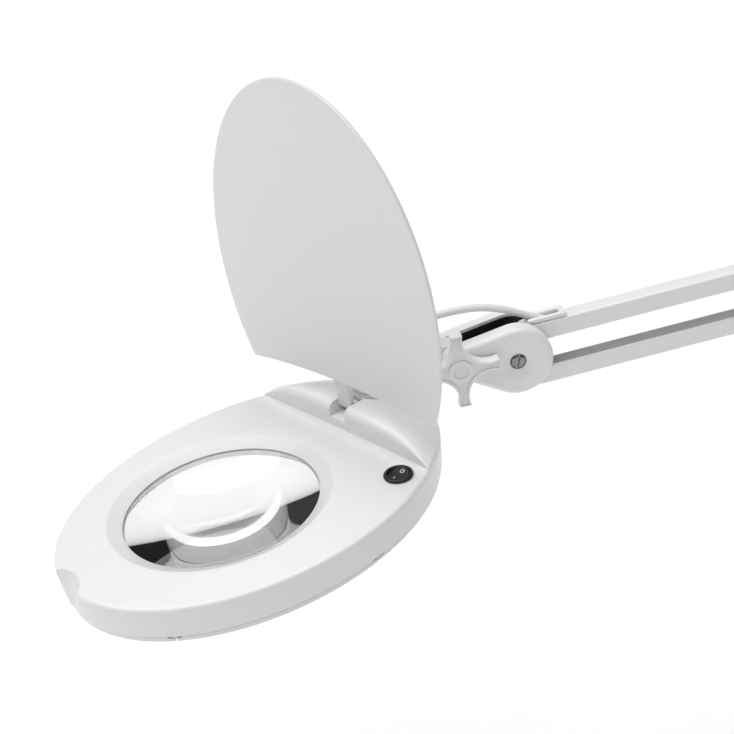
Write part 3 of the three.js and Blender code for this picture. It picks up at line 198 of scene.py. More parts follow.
def tidy(obj):
    """Merges doubled corners and turns every face outwards."""
    shape = bmesh.new()
    shape.from_mesh(obj.data)
    bmesh.ops.remove_doubles(shape, verts=shape.verts, dist=1e-4)
    bmesh.ops.dissolve_degenerate(shape, dist=1e-5, edges=shape.edges)
    bmesh.ops.recalc_face_normals(shape, faces=shape.faces)
    shape.to_mesh(obj.data)
    shape.free()
    return obj


def loft(rings, closed=False):
    """Faces between rings of equal length, with the end rings capped, or the last joined to the first."""
    count = len(rings[0])
    faces = []
    for ring in range(len(rings) if closed else len(rings) - 1):
        after = (ring + 1) % len(rings)
        for i in range(count):
            j = (i + 1) % count
            faces.append((ring * count + i, ring * count + j, after * count + j, after * count + i))
    if not closed:
        faces.append(tuple(reversed(range(count))))
        faces.append(tuple(range((len(rings) - 1) * count, len(rings) * count)))
    return tidy(solid([point for ring in rings for point in ring], faces))


def turned(profile, sides=96, closed=False):
    """A solid turned about Z from [radius, height] pairs, from the axis to the axis or closed on itself."""
    rings = []
    for radius, z in profile:
        rings.append([
            (radius * math.cos(2 * math.pi * i / sides), radius * math.sin(2 * math.pi * i / sides), z)
            for i in range(sides)
        ])
    return loft(rings, closed)


def moved(obj, matrix):
    """Moves a mesh inside its object."""
    obj.data.transform(matrix)
    return obj


def box(x0, x1, y0, y1, z0, z1):
    """A block between two corners."""
    ring = [(x0, y0), (x1, y0), (x1, y1), (x0, y1)]
    return loft([[(x, y, z0) for x, y in ring], [(x, y, z1) for x, y in ring]])


def upright(radius, x, y, z0, z1, sides=48):
    """A round bar along Z."""
    return moved(
        turned([(0, z0), (radius, z0), (radius, z1), (0, z1)], sides), Matrix.Translation((x, y, 0))
    )


def rod(radius, start, end, sides=48):
    """A round bar between two points."""
    start = Vector(start)
    run = Vector(end) - start
    bar = turned([(0, 0), (radius, 0), (radius, run.length), (0, run.length)], sides)
    return moved(bar, Matrix.Translation(start) @ run.to_track_quat("Z", "Y").to_matrix().to_4x4())


def belt(circles, inset=0.0, arc_points=14):
    """The outline round circles of (x, z, radius), given anticlockwise, set in by a distance."""
    def tangent(a, b):
        gap = math.hypot(b[0] - a[0], b[1] - a[1])
        return math.atan2(b[1] - a[1], b[0] - a[0]) - math.acos((a[2] - b[2]) / gap)

    outline = []
    for index, (x, z, radius) in enumerate(circles):
        before = tangent(circles[index - 1], circles[index])
        after = tangent(circles[index], circles[(index + 1) % len(circles)])
        while after < before:
            after += 2 * math.pi
        for step in range(arc_points + 1):
            angle = before + (after - before) * step / arc_points
            outline.append((
                x + (radius - inset) * math.cos(angle), z + (radius - inset) * math.sin(angle)
            ))
    return outline


def prism(outline, y0, y1):
    """An outline in X and Z, carried across Y."""
    return loft([[(x, y, z) for x, z in outline] for y in (y0, y1)])


def flattened(obj):
    """Works an object's modifiers into its mesh."""
    evaluated = obj.evaluated_get(bpy.context.evaluated_depsgraph_get())
    mesh = bpy.data.meshes.new_from_object(evaluated)
    obj.modifiers.clear()
    obj.data = mesh
    return obj


def carved(obj, operation, tools):
    """Joins, cuts or keeps in common, one tool after another, and removes the tools."""
    for tool in tools:
        carve = obj.modifiers.new("carve", "BOOLEAN")
        carve.operation = operation
        carve.solver = "EXACT"
        carve.object = tool
    flattened(obj)
    for tool in tools:
        bpy.data.objects.remove(tool)
    return obj


def joined(obj, *tools):
    return carved(obj, "UNION", tools)


def cut(obj, *tools):
    return carved(obj, "DIFFERENCE", tools)


def common(obj, *tools):
    return carved(obj, "INTERSECT", tools)


def rounded(obj, width, segments=3, limit=40):
    """Rounds the edges that turn by more than a limit in degrees."""
    bevel = obj.modifiers.new("round", "BEVEL")
    bevel.width = width
    bevel.segments = segments
    bevel.limit_method = "ANGLE"
    bevel.angle_limit = math.radians(limit)
    return flattened(obj)


def copied(obj):
    """A second object with its own copy of the mesh."""
    twin = obj.copy()
    twin.data = obj.data.copy()
    bpy.context.scene.collection.objects.link(twin)
    return twin


def mirrored(obj):
    """The same shape on the other side of the arm's plane."""
    moved(obj, Matrix.Scale(-1, 4, ACROSS))
    return tidy(obj)


def smooth_route(points, steps=6):
    """A smooth curve through given points, with a number of steps between each two."""
    points = [Vector(point) for point in points]
    ends = [points[0] * 2 - points[1]] + points + [points[-1] * 2 - points[-2]]
    route = [points[0]]
    for before, start, end, after in zip(ends, ends[1:], ends[2:], ends[3:]):
        for step in range(1, steps + 1):
            t = step / steps
            route.append(0.5 * (
                2 * start + (end - before) * t
                + (2 * before - 5 * start + 4 * end - after) * t ** 2
                + (3 * start - before - 3 * end + after) * t ** 3))
    return route


def tube(radius, route, sides=24):
    """A round tube along a route that lies in a plane of X and Z."""
    rings = []
    for i, point in enumerate(route):
        run = (route[min(i + 1, len(route) - 1)] - route[max(i - 1, 0)]).normalized()
        side = run.cross(ACROSS)
        rings.append([
            point + radius * (
                math.cos(2 * math.pi * k / sides) * side + math.sin(2 * math.pi * k / sides) * ACROSS
            )
            for k in range(sides)
        ])
    return loft(rings)


def hand_in(obj, name, place, material, body, slot, *nodes):
    """Puts a piece in its place, gives it its finish and body, and says which frame nodes it stands for."""
    obj.name = name
    obj.data.name = name
    tidy(obj)
    obj.data.transform(place)
    obj.data.shade_smooth()
    obj.data.set_sharp_from_angle(angle=SMOOTH_ANGLE)
    obj.data.materials.clear()
    obj.data.materials.append(bpy.data.materials[material])
    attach(obj, body)
    if nodes:
        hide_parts(*nodes)
    return obj


# ---------------------------------------------------------------- the head's outline and deck

HALF_WIDTH = 103.5
HALF_LENGTH = 133.3
CENTRE_Y = 26.9
SHELL_HEIGHT = 20.5
SHELL_WALL = 2.5
TOP_RISE = 1.5
LOWER_EDGE_Z = -25.5
LOWER_INSET = 2.6
DECK_FRONT_Y = 98.8
DECK_HEIGHT = 17.0
DECK_EDGE = 6.0
FLAT_SHARE = 0.54
LENS_RADIUS = 63.5
LENS_SEAT_Z = -4.0
LENS_EDGE = 3.0
LENS_CURVATURE = 262.0
APERTURE = 62.5
BEVEL = 71.0
WINDOW = 88.0
GAP = 0.3
SCREW_PLACES = [(40, -86.5), (-51, -80.5), (87, 60), (-87, 60)]
BOSS_RADIUS = 20.5
BOSS_TOP = 18.4
POCKET = 10.0
TAB_HALF = 6.8
SWITCH_PLACE = (75.5, 83.0)
SWITCH_HOLE = 7.6
BOLT_HOLE = 3.3
SCOOP_RADIUS = 24.7
SCOOP_DEPTH = 8.1
SCOOP_LEAN = 18
SEAT_DEPTH = 7.2
LOWER_FLOOR = 2.4
NECK_HOLE = 6.3
HINGE_PIN_RADIUS = 1.5
HINGE_PIN_HOLE = 1.8
OVAL_POINTS = 224


def oval(inset, z):
    """A ring of the head's oval, set in by a distance along its normals."""
    ring = []
    for i in range(OVAL_POINTS):
        angle = 2 * math.pi * i / OVAL_POINTS
        normal = Vector((HALF_LENGTH * math.cos(angle), HALF_WIDTH * math.sin(angle))).normalized()
        ring.append((HALF_WIDTH * math.cos(angle) - inset * normal.x,
                     CENTRE_Y + HALF_LENGTH * math.sin(angle) - inset * normal.y, z))
    return ring


def circle(radius, z):
    """A ring of a circle about the lens's axis, with its points facing those of the oval."""
    bearings = [math.atan2(y, x) for x, y, _ in oval(0, z)]
    return [(radius * math.cos(bearing), radius * math.sin(bearing), z) for bearing in bearings]


def between(first, second, steps):
    """Rings that pass evenly from one ring to another, without the two themselves."""
    rings = []
    for step in range(1, steps):
        share = step / steps
        rings.append([tuple(Vector(a).lerp(Vector(b), share)) for a, b in zip(first, second)])
    return rings


def deck(inset, height, front_y, floor_z):
    """The raised rear deck, domed and falling to the rim, with a step face rounded over at its top."""
    columns = 44
    rear_y = CENTRE_Y + HALF_LENGTH - inset - 2.5
    near = [0, 0.15, 0.4, 0.8, 1.4, 2.2, 3.2, 4.4, 6]
    depths = [d for d in near + list(range(9, 55, 3)) if front_y + d < rear_y - 1]
    rings = []
    for y in [front_y + depth for depth in depths] + [rear_y]:
        share = (y - CENTRE_Y) / (HALF_LENGTH - inset)
        half_width = (HALF_WIDTH - inset) * math.sqrt(max(0, 1 - share ** 2)) - 1.6
        run = min(1, (y - front_y) / DECK_EDGE)
        edge = 0.62 + 0.38 * math.sqrt(1 - (1 - run) ** 2)
        ring = [(-half_width, y, floor_z), (half_width, y, floor_z)]
        for i in range(columns + 1):
            x = half_width * math.cos(math.pi * i / columns)
            reach = min(1, math.hypot(x / (HALF_WIDTH - inset), share))
            fall = max(0, (reach - FLAT_SHARE) / (1 - FLAT_SHARE))
            ring.append((x, y, height * edge * (1 - fall ** 3)))
        rings.append(ring)
    return loft(rings)


def scoop(radius, bottom, top=8.0):
    """The round shape of the finger scoop in the front of the rim, leaning out as it goes down."""
    lean = math.tan(math.radians(SCOOP_LEAN))
    centre_y = CENTRE_Y - HALF_LENGTH + SCOOP_DEPTH - SCOOP_RADIUS
    return rod(radius, (-9, centre_y + bottom * lean, bottom), (-9, centre_y + top * lean, top), 160)


# ---------------------------------------------------------------- materials


def put(tree, kind, inputs=None, **settings):
    """Adds a node with its settings, and sets or links its inputs, which are named or numbered."""
    node = tree.nodes.new(kind)
    for key, value in settings.items():
        setattr(node, key, value)
    for socket, value in (inputs or {}).items():
        if isinstance(value, bpy.types.NodeSocket):
            tree.links.new(value, node.inputs[socket])
        else:
            node.inputs[socket].default_value = value
    return node


def shader_material(name, sockets):
    """A material with one shader, whose sockets are set to the values given."""
    material = bpy.data.materials.new(name)
    material.use_nodes = True
    shader = material.node_tree.nodes["Principled BSDF"]
    for socket, value in sockets.items():
        shader.inputs[socket].default_value = value
    return material.node_tree, shader


def noise(tree, width, detail=2.0, stretch=(1, 1, 1)):
    """A noise pattern whose lumps are a given width in millimetres."""
    place = put(tree, "ShaderNodeTexCoord")
    turn = put(tree, "ShaderNodeMapping", {"Vector": place.outputs["Object"], "Scale": stretch})
    return put(
        tree, "ShaderNodeTexNoise",
        {"Vector": turn.outputs[0], "Scale": 1 / (width * MM), "Detail": detail}
    )


def relief(tree, shader, pattern, height, strength=1.0):
    """Raises the surface by a pattern, to a height in millimetres."""
    bump = put(
        tree, "ShaderNodeBump", {"Height": pattern, "Distance": height * MM, "Strength": strength}
    )
    tree.links.new(bump.outputs[0], shader.inputs["Normal"])


def varied(tree, shader, socket, pattern, low, high):
    """Lets a shader's socket pass between two values over a pattern."""
    ramp = put(tree, "ShaderNodeMapRange", {"Value": pattern, 3: low, 4: high})
    tree.links.new(ramp.outputs[0], shader.inputs[socket])


def shaded(tree, shader, pattern, first, second):
    """Lets the base colour pass between two colours over a pattern."""
    mix = put(tree, "ShaderNodeMix", {0: pattern, 6: first, 7: second}, data_type="RGBA")
    tree.links.new(mix.outputs[2], shader.inputs["Base Color"])


def dimmed(tone, share):
    """A colour made darker or lighter by a share of itself."""
    return tuple(min(1, channel * share) for channel in tone[:3]) + (1.0,)


def make_plastics(colours):
    # Moulded ABS: an even, satin white with soft broad highlights and the faintest texture from the tool.
    tree, shader = shader_material(
        "moulded_abs", {"IOR": 1.53, "Roughness": 0.3, "Specular IOR Level": 0.5}
    )
    broad = noise(tree, 30, 2)
    shaded(tree, shader, broad.outputs[0], dimmed(colours.moulding, 0.985), colours.moulding)
    varied(tree, shader, "Roughness", noise(tree, 9, 3).outputs[0], 0.27, 0.36)
    # The spark texture is 0.15 mm on such a moulding and is drawn at 0.9 mm, so that it shows at all.
    relief(tree, shader, noise(tree, 0.9, 1).outputs[0], 0.012)

    # Switch plastic: moulded black nylon, a little greyer and rougher where the tool was textured.
    tree, shader = shader_material("black_nylon", {"IOR": 1.53, "Specular IOR Level": 0.4})
    shaded(tree, shader, noise(tree, 4, 2).outputs[0], colours.switch, dimmed(colours.switch, 1.7))
    varied(tree, shader, "Roughness", noise(tree, 2, 3).outputs[0], 0.28, 0.42)
    relief(tree, shader, noise(tree, 0.35, 1).outputs[0], 0.01)

    # Printed marks: thick white ink, matt against the glossy switch.
    tree, shader = shader_material("pad_printed_ink", {"IOR": 1.5})
    shaded(tree, shader, noise(tree, 0.6, 2).outputs[0], colour("DEDEDC"), colour("F0F0EE"))
    varied(tree, shader, "Roughness", noise(tree, 0.5, 2).outputs[0], 0.5, 0.7)

    # Flexible PVC sheath: a softer, slightly waxy white with a faint mark from the drawing die along it.
    tree, shader = shader_material(
        "flexible_pvc", {"IOR": 1.52, "Specular IOR Level": 0.4, "Subsurface Weight": 0.05}
    )
    shaded(tree, shader, noise(tree, 25, 2).outputs[0], dimmed(colours.lead, 0.97), colours.lead)
    varied(tree, shader, "Roughness", noise(tree, 5, 3).outputs[0], 0.42, 0.55)
    relief(tree, shader, noise(tree, 1.3, 2).outputs[0], 0.02)

    # Moulded rubber: dull, nearly black, with a fine pebbled face and a bloom of grey.
    tree, shader = shader_material("moulded_rubber", {"IOR": 1.5, "Specular IOR Level": 0.3})
    shaded(tree, shader, noise(tree, 7, 4).outputs[0], colours.rubber, dimmed(colours.rubber, 1.8))
    varied(tree, shader, "Roughness", noise(tree, 3, 3).outputs[0], 0.68, 0.88)
    relief(tree, shader, noise(tree, 0.8, 1).outputs[0], 0.05)


def make_metals(colours):
    # Powder-coated steel: a full satin white whose skin has a shallow orange peel about 1.6 mm across.
    tree, shader = shader_material("powder_coated_steel", {"IOR": 1.52, "Specular IOR Level": 0.5})
    shaded(tree, shader, noise(tree, 40, 2).outputs[0], dimmed(colours.coating, 0.98), colours.coating)
    varied(tree, shader, "Roughness", noise(tree, 6, 3).outputs[0], 0.28, 0.38)
    relief(tree, shader, noise(tree, 1.6, 2).outputs[0], 0.022)

    # Zinc-plated steel: bright grey metal, clouded by the passivating bath.
    tree, shader = shader_material("zinc_plated_steel", {"Metallic": 1.0})
    shaded(tree, shader, noise(tree, 5, 4).outputs[0], colour("A9ACAE"), colour("C9CBCB"))
    varied(tree, shader, "Roughness", noise(tree, 2.5, 4).outputs[0], 0.22, 0.4)
    relief(tree, shader, noise(tree, 0.5, 2).outputs[0], 0.008)

    # Chromed steel: a hard mirror with the turning marks of the screw's head just visible under it.
    tree, shader = shader_material("chromed_steel", {"Metallic": 1.0})
    shaded(tree, shader, noise(tree, 3, 3).outputs[0], colour("6F7174"), colour("94969A"))
    varied(tree, shader, "Roughness", noise(tree, 1.2, 3).outputs[0], 0.09, 0.2)
    relief(tree, shader, noise(tree, 0.7, 1, (6, 1, 6)).outputs[0], 0.006)

    # Drawn spring wire: darker bright steel, with fine lines along the wire from the drawing die.
    tree, shader = shader_material("drawn_spring_wire", {"Metallic": 1.0})
    shaded(tree, shader, noise(tree, 1.5, 3).outputs[0], colour("8C8F92"), colour("B4B6B8"))
    varied(tree, shader, "Roughness", noise(tree, 0.8, 3).outputs[0], 0.2, 0.38)
    relief(tree, shader, noise(tree, 0.4, 2, (1, 8, 1)).outputs[0], 0.01)


def make_optics(colours):
    # Ground crown glass: clear, with a full polish and a green cast only in depth.
    tree, shader = shader_material("polished_crown_glass", {
        "Base Color": colour("FFFFFF"), "IOR": 1.523, "Transmission Weight": 1.0,
        "Specular IOR Level": 0.5})
    varied(tree, shader, "Roughness", noise(tree, 60, 2).outputs[0], 0.0, 0.012)

    # Frosted polycarbonate: milky and soft, it spreads the chips' light.
    tree, shader = shader_material("frosted_polycarbonate", {"IOR": 1.58, "Transmission Weight": 0.35})
    shaded(tree, shader, noise(tree, 20, 2).outputs[0], colour("EDEFED"), colour("F7F8F6"))
    varied(tree, shader, "Roughness", noise(tree, 1.5, 3).outputs[0], 0.5, 0.65)
    relief(tree, shader, noise(tree, 0.5, 1).outputs[0], 0.02)

    # Lacquered light board: white solder lacquer over copper, with the tracks just raised under it.
    tree, shader = shader_material("white_lacquered_board", {"IOR": 1.5})
    shaded(tree, shader, noise(tree, 6, 3).outputs[0], dimmed(colours.board, 0.93), colours.board)
    varied(tree, shader, "Roughness", noise(tree, 2, 2).outputs[0], 0.35, 0.5)
    relief(tree, shader, noise(tree, 2.4, 0).outputs[0], 0.06)

    # Light chip: a pale yellow phosphor in a white case.
    tree, shader = shader_material("phosphor_chip", {"IOR": 1.45})
    shaded(tree, shader, noise(tree, 0.8, 2).outputs[0], colour("E9DC8A"), colour("F4ECB6"))
    varied(tree, shader, "Roughness", noise(tree, 0.5, 2).outputs[0], 0.3, 0.5)

    # Green circuit board: lacquer over glass cloth, whose weave shows as fine squares.
    tree, shader = shader_material("green_circuit_board", {"IOR": 1.5})
    shaded(tree, shader, noise(tree, 1.2, 3).outputs[0], colour("2A6441"), colour("3B7A50"))
    varied(tree, shader, "Roughness", noise(tree, 2, 2).outputs[0], 0.3, 0.48)
    relief(tree, shader, noise(tree, 0.9, 0).outputs[0], 0.05)


MATERIALS_OF_SLOTS = {
    "white_plastic": "moulded_abs",
    "arm_metal": "powder_coated_steel",
    "steel": "zinc_plated_steel",
    "chromed": "chromed_steel",
    "spring_steel": "drawn_spring_wire",
    "pad_rubber": "moulded_rubber",
    "lens_glass": "polished_crown_glass",
    "frosted_plastic": "frosted_polycarbonate",
    "led_board": "white_lacquered_board",
    "circuit_board": "green_circuit_board",
    "switch_black": "black_nylon",
    "lead_white": "flexible_pvc",
}


class LampOperator(bpy.types.Operator):
    """Shared by the lamp's operators."""
    bl_idname = "lamp.shared"
    bl_label = "Shared"
    bl_options = {"INTERNAL"}

    def execute(self, context):
        self.make(context.scene.lamp_sizes, context.scene.lamp_colours)
        return {"FINISHED"}

    def make(self, sizes, colours):
        raise NotImplementedError


class LampFinishes(LampOperator):
    """Makes the lamp's materials and gives every frame node the one of its slot."""
    bl_idname = "lamp.finishes"
    bl_label = "Finishes"

    def make(self, sizes, colours):
        make_plastics(colours)
        make_metals(colours)
        make_optics(colours)
        slots = {part["node"]: part["material_slot"] for part in frame["record"]["subparts"]}
        for name, obj in frame["nodes"].items():
            material = bpy.data.materials[MATERIALS_OF_SLOTS[slots[name]]]
            for slot in obj.material_slots:
                slot.material = material


class LampHeadShell(LampOperator):
    """Makes the head's upper shell, with its rear deck, neck boss, hinge pocket and finger scoop."""
    bl_idname = "lamp.head_shell"
    bl_label = "Head shell"

    def make(self, sizes, colours):
        rim = sizes.rim_round / MM
        rim_arc = []
        for step in range(1, 8):
            angle = math.pi / 2 * step / 8
            rim_arc.append(oval(rim * (1 - math.cos(angle)), -rim + rim * math.sin(angle)))
        crest = circle(BEVEL + 1.2, TOP_RISE)
        rings = [oval(1.4, -SHELL_HEIGHT), oval(1.2, -SHELL_HEIGHT + 2)]
        rings += between(oval(1.2, -SHELL_HEIGHT + 2), oval(0, -rim), 4)
        rings += [oval(0, -rim)] + rim_arc + [oval(rim, 0)]
        rings += between(oval(rim, 0), crest, 7) + [crest]
        for reach, drop in ((0.5, 0.1), (0, 0.35), (-0.6, 0.8)):
            rings.append(circle(BEVEL + reach, TOP_RISE - drop))
        rings += [circle(APERTURE + 0.4, LENS_SEAT_Z + 1.1), circle(APERTURE, LENS_SEAT_Z + 0.7)]
        seat = LENS_RADIUS + GAP
        rings += [
            circle(APERTURE, LENS_SEAT_Z), circle(seat, LENS_SEAT_Z), circle(seat, LENS_SEAT_Z - SEAT_DEPTH)
        ]
        rings += [
            circle(seat + SHELL_WALL, LENS_SEAT_Z - SEAT_DEPTH), circle(seat + SHELL_WALL, LENS_SEAT_Z + 0.6)
        ]
        rings += [circle(BEVEL + 1.2, TOP_RISE - SHELL_WALL), oval(SHELL_WALL + 0.6, -SHELL_WALL)]
        rings += [oval(SHELL_WALL + 1.4, -SHELL_HEIGHT)]
        shell = loft(rings, closed=True)
        shell = joined(shell, deck(0, DECK_HEIGHT, DECK_FRONT_Y, -1.5))
        shell = cut(
            shell, deck(SHELL_WALL + 1, DECK_HEIGHT - SHELL_WALL, DECK_FRONT_Y + SHELL_WALL, -8)
        )
        inside = loft([oval(SHELL_WALL - 0.6, -SHELL_HEIGHT + 0.6), oval(SHELL_WALL - 0.6, -1)])
        wall = common(scoop(SCOOP_RADIUS + SHELL_WALL, -SHELL_HEIGHT - 2), inside)
        block = box(-POCKET - 5, POCKET + 5, DECK_FRONT_Y + 1.8, HINGE_Y + 7.5, 4.5, HINGE_Z + 1.8)
        boss = moved(turned([
            (0, -1.2), (BOSS_RADIUS, -1.2), (BOSS_RADIUS, BOSS_TOP - 1.2),
            (BOSS_RADIUS - 0.35, BOSS_TOP - 0.35),
            (BOSS_RADIUS - 1.2, BOSS_TOP), (0, BOSS_TOP),
        ]), Matrix.Translation((0, NECK_Y, 0)))
        shell = joined(shell, wall, block, boss)
        shell = cut(
            shell,
            scoop(SCOOP_RADIUS, -30),
            upright(NECK_HOLE, 0, NECK_Y, 0, BOSS_TOP + 5),
            upright(7.9, *SWITCH_PLACE, -6, 8),
            box(-TAB_HALF - 0.9, TAB_HALF + 0.9, DECK_FRONT_Y - 6, HINGE_Y + 5.2, 7.6, DECK_HEIGHT + 9),
            rod(HINGE_PIN_HOLE, (-POCKET - 4, HINGE_Y, HINGE_Z), (POCKET + 4, HINGE_Y, HINGE_Z)),
        )
        hand_in(shell, "head_shell", HEAD, "moulded_abs", "head", "white_plastic", "head_housing")


class LampLowerRing(LampOperator):
    """Makes the lower housing that shows as a step under the shell, with its notches and screw seats."""
    bl_idname = "lamp.lower_ring"
    bl_label = "Lower housing"

    def make(self, sizes, colours):
        floor_top = LOWER_EDGE_Z + LOWER_FLOOR
        top = -SHELL_HEIGHT - GAP
        ring = loft([
            oval(LOWER_INSET + 1.6, LOWER_EDGE_Z), oval(LOWER_INSET + 0.7, LOWER_EDGE_Z + 0.25),
            oval(LOWER_INSET + 0.15, LOWER_EDGE_Z + 0.75), oval(LOWER_INSET, LOWER_EDGE_Z + 1.4),
            oval(LOWER_INSET, top - 1.1), oval(LOWER_INSET + 0.9, top), oval(LOWER_INSET + 2.1, top),
            oval(LOWER_INSET + 2.1, floor_top),
            circle(WINDOW + 3.6, floor_top), circle(WINDOW + 3.6, floor_top + 2.2),
            circle(WINDOW + 2.1, floor_top + 2.2), circle(WINDOW + 2.1, floor_top),
            circle(WINDOW, floor_top),
            circle(WINDOW, LOWER_EDGE_Z + 0.6), circle(WINDOW + 0.6, LOWER_EDGE_Z),
        ], closed=True)
        pillars = [upright(4.6, x, y, LOWER_EDGE_Z + 0.6, top) for x, y in SCREW_PLACES]
        seats = [upright(3.4, x, y, LOWER_EDGE_Z - 1, LOWER_EDGE_Z + 2.3) for x, y in SCREW_PLACES]
        bores = [upright(1.8, x, y, LOWER_EDGE_Z - 1, 0) for x, y in SCREW_PLACES]
        notches = []
        for x, y in [(60, -78), (-60, -78), (101, 39), (-101, 39)]:
            turn = Matrix.Rotation(math.atan2(y, x), 4, "Z")
            reach = math.hypot(x, y)
            notches.append(moved(
                box(reach - 9, reach + 9, -0.9, 0.9, LOWER_EDGE_Z - 1, top + 1.3), turn
            ))
            notches.append(moved(
                box(reach - 9, reach + 9, -4.2, 4.2, LOWER_EDGE_Z + 2.9, top + 1.3), turn
            ))
        ring = cut(joined(ring, *pillars), *seats, *bores, *notches, scoop(SCOOP_RADIUS, -31))
        hand_in(ring, "lower_ring", HEAD, "moulded_abs", "head", "white_plastic", "lower_housing")


class LampOptics(LampOperator):
    """Makes the ground lens, the ring that holds it and the frosted light window under it."""
    bl_idname = "lamp.optics"
    bl_label = "Lens and window"

    def make(self, sizes, colours):
        top = LENS_SEAT_Z - GAP
        sag = LENS_CURVATURE - math.sqrt(LENS_CURVATURE ** 2 - LENS_RADIUS ** 2)
        radii = [LENS_RADIUS * i / 28 for i in range(29)]
        drops = [LENS_CURVATURE - math.sqrt(LENS_CURVATURE ** 2 - radius ** 2) for radius in radii]
        under = [(radius, top - LENS_EDGE - sag + drop) for radius, drop in zip(radii, drops)]
        over = [(radius, top + sag - drop) for radius, drop in zip(radii, drops)]
        lens = turned(under + over[::-1], 192)
        hand_in(lens, "ground_lens", HEAD, "polished_crown_glass", "head", "lens_glass", "lens")

        ring_top = top - LENS_EDGE - GAP
        inner = LENS_RADIUS - 2.4
        ring = turned([
            (inner, ring_top - 2.2), (inner + 0.4, ring_top - 2.6), (LENS_RADIUS - GAP, ring_top - 2.6),
            (LENS_RADIUS - GAP, ring_top), (LENS_RADIUS - 1.2, ring_top), (inner, ring_top - 0.6),
        ], 160, closed=True)
        hand_in(ring, "lens_retainer", HEAD, "moulded_abs", "head", "white_plastic", "lens_ring")

        bottom = LOWER_EDGE_Z + LOWER_FLOOR + GAP
        collar = LENS_SEAT_Z - SEAT_DEPTH - 2 * GAP
        window = turned([
            (LENS_RADIUS + 0.6, bottom + 0.4), (LENS_RADIUS + 1, bottom), (WINDOW + 1.8, bottom),
            (WINDOW + 1.8, bottom + 1.8), (LENS_RADIUS + 3.4, bottom + 1.8),
            (LENS_RADIUS + 2.4, bottom + 2.8),
            (LENS_RADIUS + 2.4, collar), (LENS_RADIUS + 0.6, collar),
        ], 160, closed=True)
        hand_in(
            window, "light_window", HEAD, "frosted_polycarbonate", "head", "frosted_plastic",
            "light_diffuser"
        )


# ---------------------------------------------------------------- pieces that repeat, by geometry nodes


def tree_of(name, inputs):
    """A geometry node tree with a geometry input, the named inputs given, and a geometry output."""
    tree = bpy.data.node_groups.new(name, "GeometryNodeTree")
    tree.interface.new_socket("Geometry", in_out="INPUT", socket_type="NodeSocketGeometry")
    tree.interface.new_socket("Geometry", in_out="OUTPUT", socket_type="NodeSocketGeometry")
    for label, kind in inputs.items():
        tree.interface.new_socket(label, in_out="INPUT", socket_type=kind)
    return tree, put(tree, "NodeGroupInput")


def closed_tree(tree, geometry):
    """Ends a tree: its instances are made real and take the material of the tree's input."""
    source = put(tree, "NodeGroupInput")
    real = put(tree, "GeometryNodeRealizeInstances", {0: geometry})
    coat = put(
        tree, "GeometryNodeSetMaterial", {0: real.outputs[0], "Material": source.outputs["Material"]}
    )
    put(tree, "NodeGroupOutput", {0: coat.outputs[0]})


def grown(points, tree, values):
    """A plain mesh made by a tree on a set of points, in the tree's inputs' units of millimetres."""
    obj = solid(points, [])
    modifier = obj.modifiers.new("grow", "NODES")
    modifier.node_group = tree
    for item in tree.interface.items_tree:
        if item.in_out == "INPUT" and item.name in values:
            modifier[item.identifier] = values[item.name]
    return flattened(obj)


def pin_tree():
    """Headed pins across the arm, one on each point: a shank and a domed head at each end."""
    tree, source = tree_of("headed_pins", {
        "Radius": "NodeSocketFloat", "Half Length": "NodeSocketFloat", "Head Radius": "NodeSocketFloat",
        "Head Height": "NodeSocketFloat", "Material": "NodeSocketMaterial"})
    whole = put(
        tree, "ShaderNodeMath", {0: source.outputs["Half Length"], 1: 2.0}, operation="MULTIPLY"
    )
    shank = put(tree, "GeometryNodeMeshCylinder",
                {"Vertices": 40, "Radius": source.outputs["Radius"], "Depth": whole.outputs[0]})
    parts = [shank.outputs[0]]
    crown = put(
        tree, "ShaderNodeMath", {0: source.outputs["Head Radius"], 1: 0.72}, operation="MULTIPLY"
    )
    start = put(tree, "ShaderNodeMath",
                {0: source.outputs["Half Length"], 1: source.outputs["Head Height"]},
                operation="SUBTRACT")
    half = put(tree, "ShaderNodeMath", {0: source.outputs["Head Height"], 1: 0.5}, operation="MULTIPLY")
    for turn in (0.0, math.pi):
        seat = put(tree, "GeometryNodeMeshCone", {
            "Vertices": 48, "Radius Bottom": source.outputs["Head Radius"],
            "Radius Top": source.outputs["Head Radius"], "Depth": half.outputs[0]})
        dome = put(tree, "GeometryNodeMeshCone", {
            "Vertices": 48, "Radius Bottom": source.outputs["Head Radius"],
            "Radius Top": crown.outputs[0],
            "Depth": half.outputs[0]})
        lift = put(tree, "ShaderNodeCombineXYZ", {2: half.outputs[0]})
        raised = put(
            tree, "GeometryNodeTransform", {0: dome.outputs[0], "Translation": lift.outputs[0]}
        )
        head = put(tree, "GeometryNodeJoinGeometry", {0: seat.outputs[0]})
        tree.links.new(raised.outputs[0], head.inputs[0])
        place = put(tree, "ShaderNodeCombineXYZ", {2: start.outputs[0]})
        out = put(tree, "GeometryNodeTransform", {0: head.outputs[0], "Translation": place.outputs[0]})
        turned_head = put(tree, "GeometryNodeTransform", {0: out.outputs[0], "Rotation": (turn, 0, 0)})
        parts.append(turned_head.outputs[0])
    pin = put(tree, "GeometryNodeJoinGeometry")
    for part in parts:
        tree.links.new(part, pin.inputs[0])
    across = put(tree, "GeometryNodeTransform", {0: pin.outputs[0], "Rotation": (math.pi / 2, 0, 0)})
    spread = put(
        tree, "GeometryNodeInstanceOnPoints",
        {0: source.outputs["Geometry"], "Instance": across.outputs[0]}
    )
    closed_tree(tree, spread.outputs[0])
    return tree


